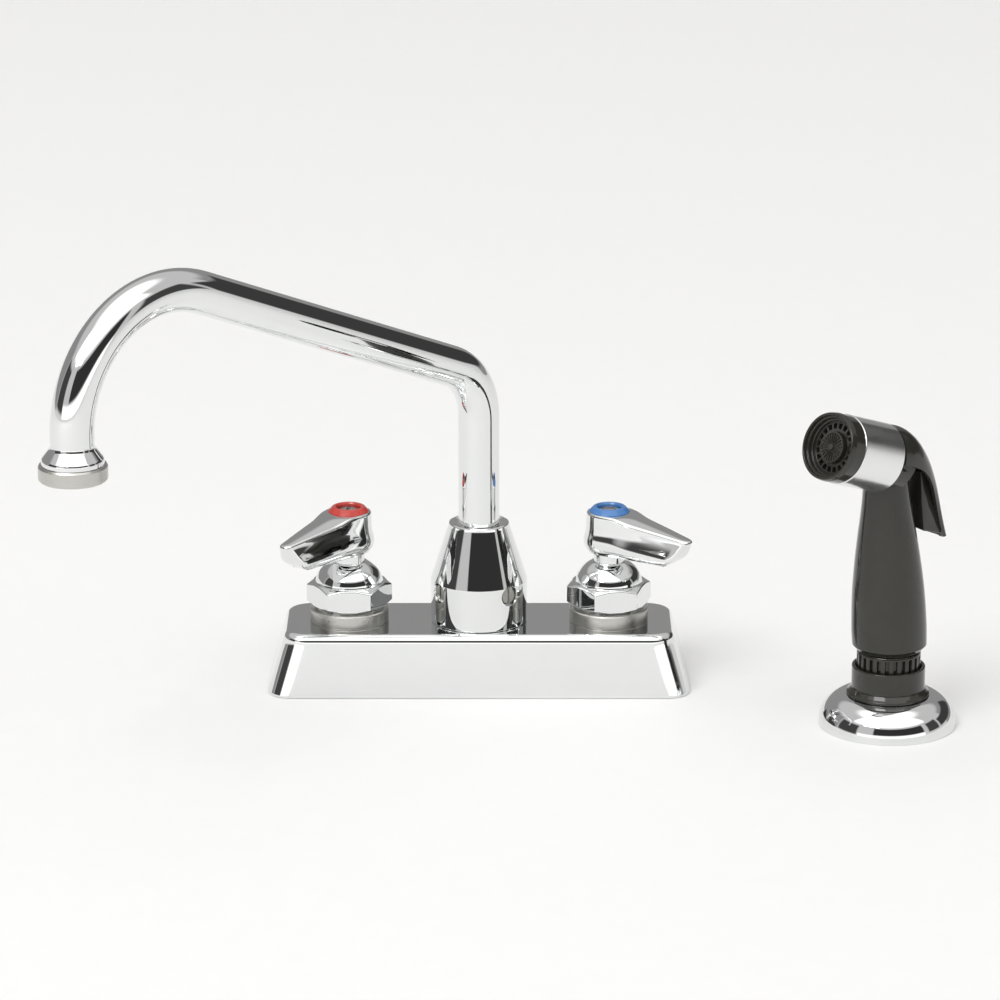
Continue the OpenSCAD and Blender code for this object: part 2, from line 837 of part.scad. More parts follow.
// The grip's outline up its own leaning axis as [share of its length, share of its largest radius]
grip_line = [[-0.04, 0.95], [0, 0.95], [0.04, 1], [0.255, 0.985], [0.389, 0.94], [0.576, 0.82],
    [0.697, 0.73], [0.791, 0.655], [0.912, 0.61]];
grip_foot = grip_line[0][0];
grip_end = grip_line[len(grip_line) - 1][0];
grip_top = grip_z + grip_l - 6.6;
grip_lean = 3.3;
water_way_x = 2.5;
water_way_r = 3.2;

module water_way() {
    at_spray() translate([water_way_x, 0, inlet_top]) cylinder(r = water_way_r, h = head_z - inlet_top);
}

// Saddle under the rear of the barrel, below the sweep of the hood
module barrel_saddle() {
    intersection() {
        along(barrel_r, 0, saddle_s, band_s + 1);
        translate([-10, -20, -40 + saddle_n]) cube([40, 40, 40]);
    }
}

// Side view of the slot in the back of the grip that the trigger's web swings into
slot_edge = [[-30, grip_z + 36], [-5.2, grip_z + 41], [-4.4, grip_z + 54], [-4.4, head_z], [-30, head_z]];

module spray_grip() {
    color("dimgray") difference() {
        at_spray() intersection() {
            translate([0, 0, grip_z]) rotate([0, grip_lean, 0]) rotate_extrude() polygon(concat(
                [[0, grip_foot * grip_l]], [for (g = grip_line) [grip_r * g[1], grip_l * g[0]]],
                [[0, grip_end * grip_l]]));
            translate([-30, -30, grip_z]) cube([60, 60, grip_top - grip_z]);
        }
        at_spray() {
            translate([0, 0, grip_z - 1]) cylinder(r = inlet_r + run_gap, h = inlet_top - grip_z + 3);
            side_view(web_w + 1.6, slot_edge);
        }
        water_way();
        at_head() along(barrel_r, 0, saddle_s, nose_s);
        at_head() along(band_r, 0, band_s, nose_s);
        at_head() along(stub_r, 0, stub_s, band_s);
    }
}

module spray_barrel() {
    color("dimgray") difference() {
        at_head() {
            along(barrel_r, 0, band_s, nose_s);
            along(stub_r, 0, stub_s, band_s + 1);
            barrel_saddle();
        }
        water_way();
        at_head() {
            along(chamber_r, 0, 2, nose_s + 1);
            along(valve_rod_r + run_gap, 0, stub_s - 1, 3);
            translate([pin_s, 20, pin_n]) rotate([90, 0, 0]) cylinder(r = pin_r, h = 40);
        }
    }
}

module spray_band() {
    color("silver") at_head() along(band_r, barrel_r, band_s, nose_s);
}

module nose_ring() {
    nose_r = band_r - 0.35;
    end_s = nose_s + nose_l;
    color("dimgray") at_head() rotate([0, 90, 0]) rotate_extrude() polygon([[chamber_r, nose_s],
        [nose_r, nose_s], [nose_r, end_s - 0.8], [nose_r - 0.5, end_s], [nose_r - 1.4, end_s],
        [nose_r - 1.7, end_s - 1.5], [nose_r - 2.6, end_s - 1.7], [nose_r - 2.6, nose_s + 1.2],
        [chamber_r, nose_s + 1.2]]);
}

module spray_face() {
    face_r = band_r - 2.95;
    color("dimgray") at_head() difference() {
        along(face_r, 0, nose_s + 1.2, nose_s + 3.2);
        for (a = [0:18:342]) rotate([a, 0, 0]) translate([nose_s, -0.6, face_r - 1.9])
            cube([10, 1.2, 1.4]);
    }
}

module face_boss() {
    color("dimgray") at_head() {
        along(6.6, 0, nose_s + 3.2, nose_s + 5);
        for (a = [0:15:345]) rotate([a, 0, 0]) translate([nose_s + 5, -0.25, 1.2])
            cube([0.5, 0.5, 4.8]);
        along(1.6, 0, nose_s + 5, nose_s + 5.6);
    }
}

module spray_valve_seat() {
    color("black") at_head() along(chamber_r, 4, seat_s, seat_s + 2);
}

module spray_valve_stem() {
    color("goldenrod") at_head() {
        along(valve_rod_r, 0, stub_s - 1, seat_s + 3);
        along(6, 0, seat_s + 2 + face_gap, seat_s + 4);
    }
}

module spray_valve_spring() {
    color("gray") at_head() rotate([0, 90, 0]) coil_spring(4.6, 0.4, seat_s + 4, nose_s + 1.2, 6);
}

// ---- Trigger ----

// Side view of the trigger's skin, from the front of the hood over the back to the tip
tip_z = head_z - 32.4;
skin_outer = [[3.3, head_z + 15], [-1.8, head_z + 13.4], [-6.2, head_z + 10.2], [-10, head_z + 5.4],
    [-13.4, head_z - 1], [-16.4, head_z - 8.6], [-19.4, head_z - 19], [-23.6, tip_z]];
skin_inner = [[-21.8, tip_z - 0.6], [-20.4, tip_z + 0.4], [-16.6, head_z - 22], [-13.4, head_z - 13.5],
    [-9, head_z - 6.4], [-4, head_z - 2.4], [8, head_z + 0.8]];
web_edge = [[-20, tip_z + 0.2], [-10.6, tip_z + 3.9], [-9.2, head_z - 18], [-8.6, head_z - 9],
    [-8, head_z + 2], [-11, head_z + 2]];
hollow_r = stub_r + 1.3;
hollow_s = stub_s - 2.8;
push_r = 1.6;

// A plate in the upright plane of the spray, centred on it
module side_view(width, outline) {
    rotate([90, 0, 0]) translate([0, 0, -width / 2]) linear_extrude(width) polygon(outline);
}

module trigger() {
    color("dimgray") difference() {
        union() {
            at_spray() side_view(hood_w, concat(skin_outer, skin_inner));
            at_spray() side_view(web_w, concat(web_edge, [skin_outer[5]], [skin_outer[6]]));
            intersection() {
                at_spray() side_view(2 * band_r, concat(skin_outer, skin_inner));
                at_head() along(hood_r, 0, -16, band_s - loose_gap);
            }
        }
        at_head() {
            along(hollow_r, 0, hollow_s, band_s + 2);
            translate([hollow_s, -hollow_r, -40]) cube([40, 2 * hollow_r, 40]);
            translate([pin_s, 20, pin_n]) rotate([90, 0, 0]) cylinder(r = pin_r + run_gap, h = 40);
            translate([pin_s, 0, pin_n]) rotate([0, trigger_travel, 0])
                translate([band_s - loose_gap - pin_s, -20, -40]) cube([20, 40, 40]);
        }
    }
    color("dimgray") at_head() along(push_r, 0, hollow_s - 0.6, stub_s - 1 - loose_gap);
}

module trigger_pin() {
    color("lightgray") at_head() translate([pin_s, 11, pin_n]) rotate([90, 0, 0]) cylinder(r = pin_r, h = 22);
}

faucet_body();
base_gasket();
hot_shank();
cold_shank();
shank_washers();
shank_locknuts();
spray_outlet_nipple();
hot_spacer_ring();
cold_spacer_ring();
hot_bonnet();
cold_bonnet();
hot_seat_seal();
cold_seat_seal();
hot_fixed_disc();
cold_fixed_disc();
hot_turning_disc();
cold_turning_disc();
hot_stem();
cold_stem();
hot_stem_rings();
cold_stem_rings();
hot_lever();
cold_lever();
hot_index_ring();
cold_index_ring();
hot_lever_screw();
cold_lever_screw();
spout_hub();
hub_screws();
swivel_bushing();
diverter_guide();
diverter_plunger();
diverter_spring();
spout_tube();
swivel_sleeve();
swivel_rings();
outlet_ring();
aerator_body();
aerator_screen();
holder_flange();
holder_gasket();
holder_cup();
holder_locknut();
spray_coupling();
spray_inlet_nipple();
spray_inlet_ring();
spray_grip();
spray_barrel();
spray_band();
nose_ring();
spray_face();
face_boss();
spray_valve_seat();
spray_valve_stem();
spray_valve_spring();
trigger();
trigger_pin();
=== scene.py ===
"""Looks of a deck-mounted kitchen faucet with a hand spray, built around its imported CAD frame.

Shapes are worked out in millimetres and become metres when a mesh is made. X runs along the base to
the right, Y to the back and Z up, from the point on the deck under the spout's axis.
"""
import json

import bmesh
import bpy
import numpy as np
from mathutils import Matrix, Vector


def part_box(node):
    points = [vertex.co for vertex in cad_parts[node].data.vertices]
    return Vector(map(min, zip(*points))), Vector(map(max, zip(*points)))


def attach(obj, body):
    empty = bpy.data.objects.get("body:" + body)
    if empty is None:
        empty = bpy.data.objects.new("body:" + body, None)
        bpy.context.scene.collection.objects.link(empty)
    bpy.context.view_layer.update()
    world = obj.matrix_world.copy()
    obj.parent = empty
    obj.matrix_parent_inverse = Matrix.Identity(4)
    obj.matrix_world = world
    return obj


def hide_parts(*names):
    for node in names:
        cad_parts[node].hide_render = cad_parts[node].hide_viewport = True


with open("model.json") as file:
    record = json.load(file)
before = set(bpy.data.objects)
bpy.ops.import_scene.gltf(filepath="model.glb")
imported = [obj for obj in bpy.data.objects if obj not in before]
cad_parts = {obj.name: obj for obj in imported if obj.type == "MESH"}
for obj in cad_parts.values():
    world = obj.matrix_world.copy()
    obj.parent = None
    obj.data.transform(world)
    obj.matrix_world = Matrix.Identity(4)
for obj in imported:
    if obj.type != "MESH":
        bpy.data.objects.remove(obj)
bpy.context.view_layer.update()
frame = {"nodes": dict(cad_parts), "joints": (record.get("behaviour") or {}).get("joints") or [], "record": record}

MM = 0.001
FULL_TURN = 2 * np.pi
SHARP_EDGE = np.radians(38)

# ---- Places and sizes that come from the frame ----


def corners_of(node):
    """Lowest and highest corner of a CAD node, in millimetres."""
    low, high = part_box(node)
    return np.array(low) / MM, np.array(high) / MM


JOINTS = {joint["name"]: joint for joint in frame["joints"]}
HOT = np.array(JOINTS["hot_handle_turn"]["pos_m"]) / MM * (1, 1, 0)
COLD = np.array(JOINTS["cold_handle_turn"]["pos_m"]) / MM * (1, 1, 0)
SPOUT = np.zeros(3)
SPRAY = np.array(JOINTS["spray_swivel"]["pos_m"]) / MM * (1, 1, 0)

BASE_HIGH = corners_of("faucet_body")[1]
DECK_TOP = BASE_HIGH[2]
SPACER_LOW, SPACER_HIGH = corners_of("hot_spacer_ring")
BONNET_TOP = corners_of("hot_bonnet")[1][2]
LEVER_LOW, LEVER_HIGH = corners_of("hot_lever")
HUB_HIGH = corners_of("spout_hub")[1]
OUTLET_LOW, OUTLET_HIGH = corners_of("outlet_ring")
FLANGE_HIGH = corners_of("holder_flange")[1]
CUP_LOW, CUP_HIGH = corners_of("holder_cup")
COUPLING_LOW, COUPLING_HIGH = corners_of("spray_coupling")
GRIP_LOW, GRIP_HIGH = corners_of("spray_grip")

# Driving sizes of the faucet, in millimetres and degrees
HOT_HEADING = 232
COLD_HEADING = 321
SPOUT_HEADING = 225
BASE_LEAN = (6.2, 3.2)
BASE_CORNER = 9
BASE_EDGE = 3.3
BASE_WALL = 3
BONNET_FLATS = 29.1
HEX_HEIGHT = 9.3
NECK_HEIGHT = 1
DOME_RADIUS = 13.25
STEM_RADIUS = 6
SPACER_RADIUS = 15.4
CARTRIDGE_RADIUS = 11.5
HUB_RADIUS = 18.85
HUB_FOOT = 17.1
HUB_LIP = 11.65
HUB_SCREW_TURNS = (310, 213)
HUB_SCREW_HEIGHT = 13.8
HUB_RECESS_RADIUS = 3.9
HUB_RECESS_DEPTH = 2.2
SPOUT_RADIUS = 8
SPOUT_WALL = 1.2
SPOUT_REACH = 203.2
ELBOW_HEIGHT = 99.5
ARM_RISE = 83.6
LOW_BEND = 25
HIGH_BEND = 45
OUTLET_RADIUS = 12.5
SHANK_RADIUS = 10.45
NIPPLE_RADIUS = 6.85
FLANGE_WALL = 1.5
CUP_RADIUS = 14
CUP_WALL = 1.4
CUP_SHANK = 13.2
BAND_RADIUS = 13.25
BARREL_RADIUS = 12.05
BAND_START = 8.5
BAND_LENGTH = 21.6
NOSE_LENGTH = 7.2
GRIP_RADIUS = 14.5
GRIP_LEAN = 3.3
TRIGGER_PIN = (-0.5, 6.5)


class Stand:
    """A local frame: where its origin is, and the directions of its own X, Y and Z."""

    def __init__(self, origin, x_axis, z_axis):
        self.origin = np.asarray(origin, float)
        x_axis = np.asarray(x_axis, float) / np.linalg.norm(x_axis)
        z_axis = np.asarray(z_axis, float) / np.linalg.norm(z_axis)
        self.axes = np.stack([x_axis, np.cross(z_axis, x_axis), z_axis])

    def place(self, points):
        """Points of the local frame, in the object's frame."""
        return self.origin + points @ self.axes


def upright(origin, heading=0.0):
    """A stand about a vertical axis, turned anticlockwise from +X by a heading in degrees."""
    turn = np.radians(heading)
    return Stand(origin, (np.cos(turn), np.sin(turn), 0), (0, 0, 1))


BARREL_WAY = np.array(JOINTS["valve_slide"]["axis"])
BARREL_TILT = np.arcsin(BARREL_WAY[2])
BARREL_FLAT = BARREL_WAY[:2] / np.cos(BARREL_TILT)
BARREL_SQUARE = np.array([*(-np.sin(BARREL_TILT) * BARREL_FLAT), np.cos(BARREL_TILT)])
BARREL = np.array(JOINTS["trigger_squeeze"]["pos_m"]) / MM
BARREL = BARREL - TRIGGER_PIN[0] * BARREL_WAY - TRIGGER_PIN[1] * BARREL_SQUARE
HEAD_HEIGHT = BARREL[2]
SPRAY_HEADING = np.degrees(np.arctan2(BARREL_FLAT[1], BARREL_FLAT[0]))
ALONG_BARREL = Stand(BARREL, -BARREL_SQUARE, BARREL_WAY)
AT_SPRAY = upright(SPRAY, SPRAY_HEADING)

# ---- Curves and surfaces ----


def fillets(corners, closed=False, steps=6):
    """An outline whose corners are rounded: each (x, y, radius) corner becomes an arc tangent to both
    of its sides, with a point just before and just after it that keeps the sides flat."""
    points = []
    count = len(corners)
    for index, (x, y, radius) in enumerate(corners):
        here = np.array([x, y], float)
        if radius == 0 or (not closed and index in (0, count - 1)):
            points.append(here)
            continue
        back = np.array(corners[index - 1][:2], float) - here
        ahead = np.array(corners[(index + 1) % count][:2], float) - here
        back_length, ahead_length = np.linalg.norm(back), np.linalg.norm(ahead)
        back, ahead = back / back_length, ahead / ahead_length
        opening = np.arccos(np.clip(back @ ahead, -1, 1))
        if opening > np.pi - 0.02:
            points.append(here)
            continue
        reach = min(radius / np.tan(opening / 2), 0.46 * back_length, 0.46 * ahead_length)
        radius = reach * np.tan(opening / 2)
        middle = here + (back + ahead) / np.linalg.norm(back + ahead) * radius / np.sin(opening / 2)
        first, last = here + back * reach - middle, here + ahead * reach - middle
        sweep = np.pi - opening
        share = np.linspace(0, 1, steps)[:, None]
        arc = (np.sin((1 - share) * sweep) * first + np.sin(share * sweep) * last) / np.sin(sweep)
        lead = min(0.15, 0.3 * reach, 0.04 * min(back_length, ahead_length))
        points.extend([here + back * (reach + lead), *(middle + arc), here + ahead * (reach + lead)])
    return np.array(points)


def through(knots, share):
    """A smooth curve through equally spaced knots: the cubic Hermite curve whose slope at a knot is half
    the step between its neighbours. share runs from 0 to 1 along the knots."""
    knots = np.asarray(knots, float).reshape(len(knots), -1)
    slopes = np.gradient(knots, axis=0)
    place = np.clip(share, 0, 1) * (len(knots) - 1)
    first = np.minimum(place.astype(int), len(knots) - 2)
    t = (place - first)[:, None]
    start, end = knots[first], knots[first + 1]
    return (start * (2 * t**3 - 3 * t**2 + 1) + end * (3 * t**2 - 2 * t**3)
            + slopes[first] * (t**3 - 2 * t**2 + t) + slopes[first + 1] * (t**3 - t**2))


def smooth(low, high, value):
    """0 below low, 1 above high, and the cubic step between them."""
    share = np.clip((value - low) / (high - low), 0, 1)
    return share * share * (3 - 2 * share)


def skin(points, round_rows=False, capped=False):
    """A surface over a grid of points (row, column, xyz) whose columns close on themselves. Its rows may
    close too, or else its first and last rows may be filled with a flat cap."""
    rows, columns = points.shape[:2]
    index = np.arange(rows * columns).reshape(rows, columns)
    here = index if round_rows else index[:-1]
    above = np.roll(index, -1, 0) if round_rows else index[1:]
    quads = np.stack([here, np.roll(here, -1, 1), np.roll(above, -1, 1), above], -1).reshape(-1, 4)
    faces = quads.tolist()
    if capped:
        faces += [index[0][::-1].tolist(), index[-1].tolist()]
    return points.reshape(-1, 3), faces


def turned(outline, columns=128, closed=False):
    """A turned surface: a point (r, z) of the outline goes to (r cos a, r sin a, z) for every angle a."""
    angle = np.linspace(0, FULL_TURN, columns, endpoint=False)
    r, z = outline[:, 0, None], outline[:, 1, None]
    points = np.stack([r * np.cos(angle), r * np.sin(angle), z + 0 * angle], -1)
    return skin(points, round_rows=closed)


def threaded(radius, z_low, z_high, pitch, depth, bore):
    """A threaded tube: its radius falls by depth in a rounded groove that climbs by one pitch a turn, and
    fades out at both ends. The bore closes it inside."""
    angle = np.linspace(0, FULL_TURN, 60, endpoint=False)
    rows = np.linspace(z_low, z_high, int((z_high - z_low) / pitch * 7))[:, None]
    fade = smooth(z_low, z_low + pitch, rows) * (1 - smooth(z_high - pitch, z_high, rows))
    groove = (0.5 - 0.5 * np.cos(FULL_TURN * rows / pitch - angle)) ** 1.4
    r = radius - depth * groove * fade - 0.5 * (1 - smooth(z_low, z_low + 1, rows))
    outer = np.stack([r * np.cos(angle), r * np.sin(angle), rows + 0 * angle], -1)
    inner = [np.stack([bore * np.cos(angle), bore * np.sin(angle), z + 0 * angle], -1)
             for z in (z_high, z_low)]
    return skin(np.concatenate([outer, inner]), round_rows=True)


def joined(*surfaces):
    """Several surfaces as one list of points and faces."""
    points, faces = [], []
    for more_points, more_faces in surfaces:
        start = sum(len(p) for p in points)
        points.append(more_points)
        faces += [[corner + start for corner in face] for face in more_faces]
    return np.concatenate(points), faces


def piece(name, body, surface, stand, material, slot, *nodes):
    """Makes a closed surface into a piece that rides on a body and stands for CAD nodes."""
    points, faces = surface
    mesh = bpy.data.meshes.new(name)
    mesh.from_pydata((stand.place(points) * MM).tolist(), [], faces)
    made = bmesh.new()
    made.from_mesh(mesh)
    bmesh.ops.remove_doubles(made, verts=made.verts, dist=1e-7)
    bmesh.ops.dissolve_degenerate(made, edges=made.edges, dist=1e-8)
    bmesh.ops.recalc_face_normals(made, faces=made.faces)
    made.to_mesh(mesh)
    made.free()
    mesh.shade_smooth()
    mesh.set_sharp_from_angle(angle=SHARP_EDGE)
    mesh.materials.append(material)
    thing = bpy.data.objects.new(name, mesh)
    bpy.context.scene.collection.objects.link(thing)
    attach(thing, body)
    if nodes:
        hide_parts(*nodes)
    return thing


# ---- Shader trees ----


class Wire:
    """One output of a shader node. Sums, differences and products of it add Math nodes."""

    def __init__(self, tree, socket):
        self.tree, self.socket = tree, socket

    def __add__(self, other):
        return math_of(self.tree, "ADD", self, other)

    def __radd__(self, other):
        return math_of(self.tree, "ADD", other, self)

    def __rsub__(self, other):
        return math_of(self.tree, "SUBTRACT", other, self)

    def __mul__(self, other):
        return math_of(self.tree, "MULTIPLY", self, other)

    def __rmul__(self, other):
        return math_of(self.tree, "MULTIPLY", other, self)


def add_node(tree, kind, settings=None, sockets=None, out=0):
    """Adds a shader node: its settings first, then a value or a Wire for each named or numbered socket.
    Returns its output as a Wire."""
    node = tree.nodes.new(kind)
    for key, value in (settings or {}).items():
        setattr(node, key, value)
    for key, value in (sockets or {}).items():
        if isinstance(value, Wire):
            tree.links.new(value.socket, node.inputs[key])
        else:
            node.inputs[key].default_value = value
    return Wire(tree, node.outputs[out]) if len(node.outputs) else None


def math_of(tree, operation, first, second=0.0):
    """The result of one Math node."""
    return add_node(tree, "ShaderNodeMath", {"operation": operation}, {0: first, 1: second})


def step_between(tree, value, low, high):
    """A smooth mask that is 0 where value is below low and 1 where it is above high."""
    return add_node(tree, "ShaderNodeMapRange", {"interpolation_type": "SMOOTHSTEP"},
                    {"Value": value, "From Min": low, "From Max": high})


def blend_colours(tree, share, first, second):
    """A colour between two others."""
    return add_node(tree, "ShaderNodeMix", {"data_type": "RGBA"}, {0: share, 6: first, 7: second}, 2)


def place_of(tree, scale=(1, 1, 1)):
    """The point on the piece, in metres, stretched by a scale."""
    point = add_node(tree, "ShaderNodeTexCoord", out="Object")
    return add_node(tree, "ShaderNodeMapping", {}, {"Vector": point, "Scale": scale})


def noise(tree, size, detail, stretch=(1, 1, 1)):
    """Soft noise from 0 to 1 whose grain is about size metres across."""
    return add_node(tree, "ShaderNodeTexNoise", {}, {"Vector": place_of(tree, stretch), "Scale": 1 / size,
                                                     "Detail": detail, "Roughness": 0.55})


def finish(name, colours, roughness, metallic=0.0, grain=None, bump=0.0, coat=0.0):
    """A Principled material. colours is (dark, light), blended by a broad noise; roughness is (low, high);
    grain is a function of the tree that gives the height of a bump, and bump its depth in metres."""
    material = bpy.data.materials.new(name)
    material.use_nodes = True
    tree = material.node_tree
    tree.nodes.clear()
    cloud = noise(tree, 0.011, 4)
    speck = noise(tree, 0.0016, 2)
    colour = blend_colours(tree, cloud, (*colours[0], 1), (*colours[1], 1))
    wear = step_between(tree, cloud * 0.6 + speck * 0.4, 0.3, 0.7)
    rough = roughness[0] + wear * (roughness[1] - roughness[0])
    sockets = {"Base Color": colour, "Roughness": rough, "Metallic": metallic, "Coat Weight": coat,
               "Coat Roughness": 0.08}
    if grain:
        sockets["Normal"] = add_node(tree, "ShaderNodeBump", {}, {"Height": grain(tree), "Distance": bump,
                                                                  "Strength": 1.0})
    shader = add_node(tree, "ShaderNodeBsdfPrincipled", {}, sockets)
    add_node(tree, "ShaderNodeOutputMaterial", {}, {"Surface": shader})
    return material


def turned_marks(tree):
    """Fine marks of the lathe: noise drawn out round the piece, so that it changes with height only."""
    return noise(tree, 0.0011, 3, (0.02, 0.02, 3.0))


def polish_waves(tree):
    """The slow waves that polishing leaves under plating."""
    return noise(tree, 0.009, 1)


def mould_texture(tree):
    """The fine spark-eroded grain of a mould."""
    return noise(tree, 0.0004, 2) + 2 * noise(tree, 0.004, 1)


def crystals(tree):
    """The spangle of zinc plating."""
    return add_node(tree, "ShaderNodeTexVoronoi", {}, {"Vector": place_of(tree), "Scale": 700.0})


CHROME = finish("polished_chrome", ((0.775, 0.788, 0.79), (0.825, 0.833, 0.83)), (0.02, 0.05), 1.0,
                polish_waves, 0.000004)
BRUSHED = finish("brushed_chrome", ((0.76, 0.765, 0.76), (0.82, 0.82, 0.815)), (0.17, 0.24), 1.0,
                 polish_waves, 0.000003)
SATIN = finish("satin_nickel", ((0.50, 0.488, 0.458), (0.60, 0.59, 0.56)), (0.26, 0.36), 1.0,
               turned_marks, 0.00006)
BRASS = finish("brass", ((0.62, 0.44, 0.20), (0.78, 0.58, 0.30)), (0.22, 0.38), 1.0, turned_marks, 0.00005)
STEEL = finish("steel", ((0.50, 0.49, 0.47), (0.62, 0.61, 0.59)), (0.18, 0.30), 1.0, turned_marks, 0.00003)
ZINC = finish("locknut_zinc", ((0.46, 0.47, 0.49), (0.66, 0.67, 0.69)), (0.28, 0.45), 1.0, crystals, 0.00003)
RUBBER = finish("seal_rubber", ((0.012, 0.012, 0.013), (0.03, 0.03, 0.031)), (0.55, 0.8), 0.0,
                mould_texture, 0.00004)
CERAMIC = finish("ceramic", ((0.78, 0.77, 0.74), (0.88, 0.87, 0.85)), (0.12, 0.2), 0.0,
                 mould_texture, 0.00001)
ACETAL = finish("white_acetal", ((0.74, 0.74, 0.72), (0.84, 0.84, 0.82)), (0.3, 0.45), 0.0,
                mould_texture, 0.00003)
RED = finish("red_index", ((0.50, 0.030, 0.022), (0.62, 0.055, 0.042)), (0.16, 0.30), 0.0,
             mould_texture, 0.00002, 0.5)
BLUE = finish("blue_index", ((0.035, 0.15, 0.42), (0.07, 0.22, 0.52)), (0.16, 0.30), 0.0,
              mould_texture, 0.00002, 0.5)
BLACK = finish("black_plastic", ((0.020, 0.0195, 0.016), (0.030, 0.029, 0.024)), (0.05, 0.12), 0.0,
               mould_texture, 0.000006)
GRAY = finish("gray_plastic", ((0.10, 0.10, 0.10), (0.15, 0.15, 0.15)), (0.3, 0.45), 0.0,
              mould_texture, 0.00003)
FINISHES = {"polished_chrome": CHROME, "satin_nickel": SATIN, "brass": BRASS, "steel": STEEL,
            "locknut_zinc": ZINC, "seal_rubber": RUBBER, "ceramic": CERAMIC, "white_acetal": ACETAL,
            "red_index": RED, "blue_index": BLUE, "black_plastic": BLACK, "gray_plastic": GRAY}

# ---- Base ----


def rounded_rectangle(half_x, half_y, radius, z, steps=13):
    """A level rectangle with round corners: each corner is a quarter circle with a point of the straight
    side close to either end of it."""
    quarter = np.linspace(0, np.pi / 2, steps)
    lead = 0.06 * radius
    points = []
    for turn, (side_x, side_y) in enumerate(((1, 1), (-1, 1), (-1, -1), (1, -1))):
        angle = quarter + turn * np.pi / 2
        x = side_x * (half_x - radius) + radius * np.cos(angle)
        y = side_y * (half_y - radius) + radius * np.sin(angle)
        before = (x[0] + lead * np.sin(angle[0]), y[0] - lead * np.cos(angle[0]))
        after = (x[-1] - lead * np.sin(angle[-1]), y[-1] + lead * np.cos(angle[-1]))
        points += [before, *zip(x, y), after]
    points = np.array(points)
    return np.column_stack([points, np.full(len(points), z)])


def lean_at(z, lean, edge):
    """How far in a wall stands at a height: a straight draft up to the rounded edge, then that edge's
    arc, which starts in line with the wall and ends level."""
    slope = np.arctan2(lean, DECK_TOP - edge)
    arc_start = DECK_TOP - edge * (1 - np.sin(slope))
    angle = np.arcsin(np.clip(np.sin(slope) + (z - arc_start) / edge, -1, 1))
    wall = lean * np.minimum(z, arc_start) / (DECK_TOP - edge)
    return wall + np.where(z > arc_start, edge * (np.cos(slope) - np.cos(angle)), 0)


def base_casting():
    """The drafted base: level outlines from the deck up the walls and over the rounded edge, and below it
    the rim and the recess that holds the gasket."""
    half_x, half_y = BASE_HIGH[0], BASE_HIGH[1]
    foot_edge = 0.7
    arc = np.radians(np.linspace(4, 90, 17))
    foot = np.radians(np.linspace(0, 80, 6))
    levels = [(foot_edge * (1 - np.sin(a)), foot_edge * (1 - np.cos(a))) for a in foot]
    levels += [(0, z) for z in (1.2, 6, 12, 17, 20)]
    levels += [(0, z) for z in DECK_TOP - BASE_EDGE * (1 - np.sin(arc))]
    rows = []
    for inset, z in levels:
        in_x = inset + lean_at(np.array(z), BASE_LEAN[0], BASE_EDGE)
        in_y = inset + lean_at(np.array(z), BASE_LEAN[1], BASE_EDGE)
        corner = BASE_CORNER - inset - 0.5 * max(0, z - DECK_TOP + BASE_EDGE)
        rows.append(rounded_rectangle(half_x - in_x, half_y - in_y, corner, z))
    in_x, in_y = (lean_at(np.array(DECK_TOP), lean, BASE_EDGE) for lean in BASE_LEAN)
    for more in (0.2, 4):
        rows.append(rounded_rectangle(half_x - in_x - more, half_y - in_y - more,
                                      corner - 0.6 * more, DECK_TOP))
    below = []
    for inset, z in ((BASE_WALL + 0.4, 1.5), (BASE_WALL, 1.5), (BASE_WALL, 0), (BASE_WALL - 0.2, 0)):
        below.append(rounded_rectangle(half_x - inset, half_y - inset, BASE_CORNER - inset / 2, z))
    return skin(np.stack(below + rows), capped=True)


piece("base_casting", "deck_set", base_casting(), upright(SPOUT), CHROME, "polished_chrome", "faucet_body")

# ---- Valves ----


def hexagon_outline(turn, corner_radius=0.5):
    """A hexagon's outline as (radius, angle) columns, with small round corners."""
    flat = BONNET_FLATS / 2
    corner = flat / np.cos(np.pi / 6)
    corners = [(corner * np.cos(a), corner * np.sin(a), corner_radius)
               for a in np.radians(turn + 60 * np.arange(6))]
    sides = fillets(corners, closed=True, steps=5)
    spread = np.stack([sides + (np.roll(sides, -1, 0) - sides) * k / 3 for k in range(3)], 1).reshape(-1, 2)
    return np.hypot(spread[:, 0], spread[:, 1]), np.arctan2(spread[:, 1], spread[:, 0])


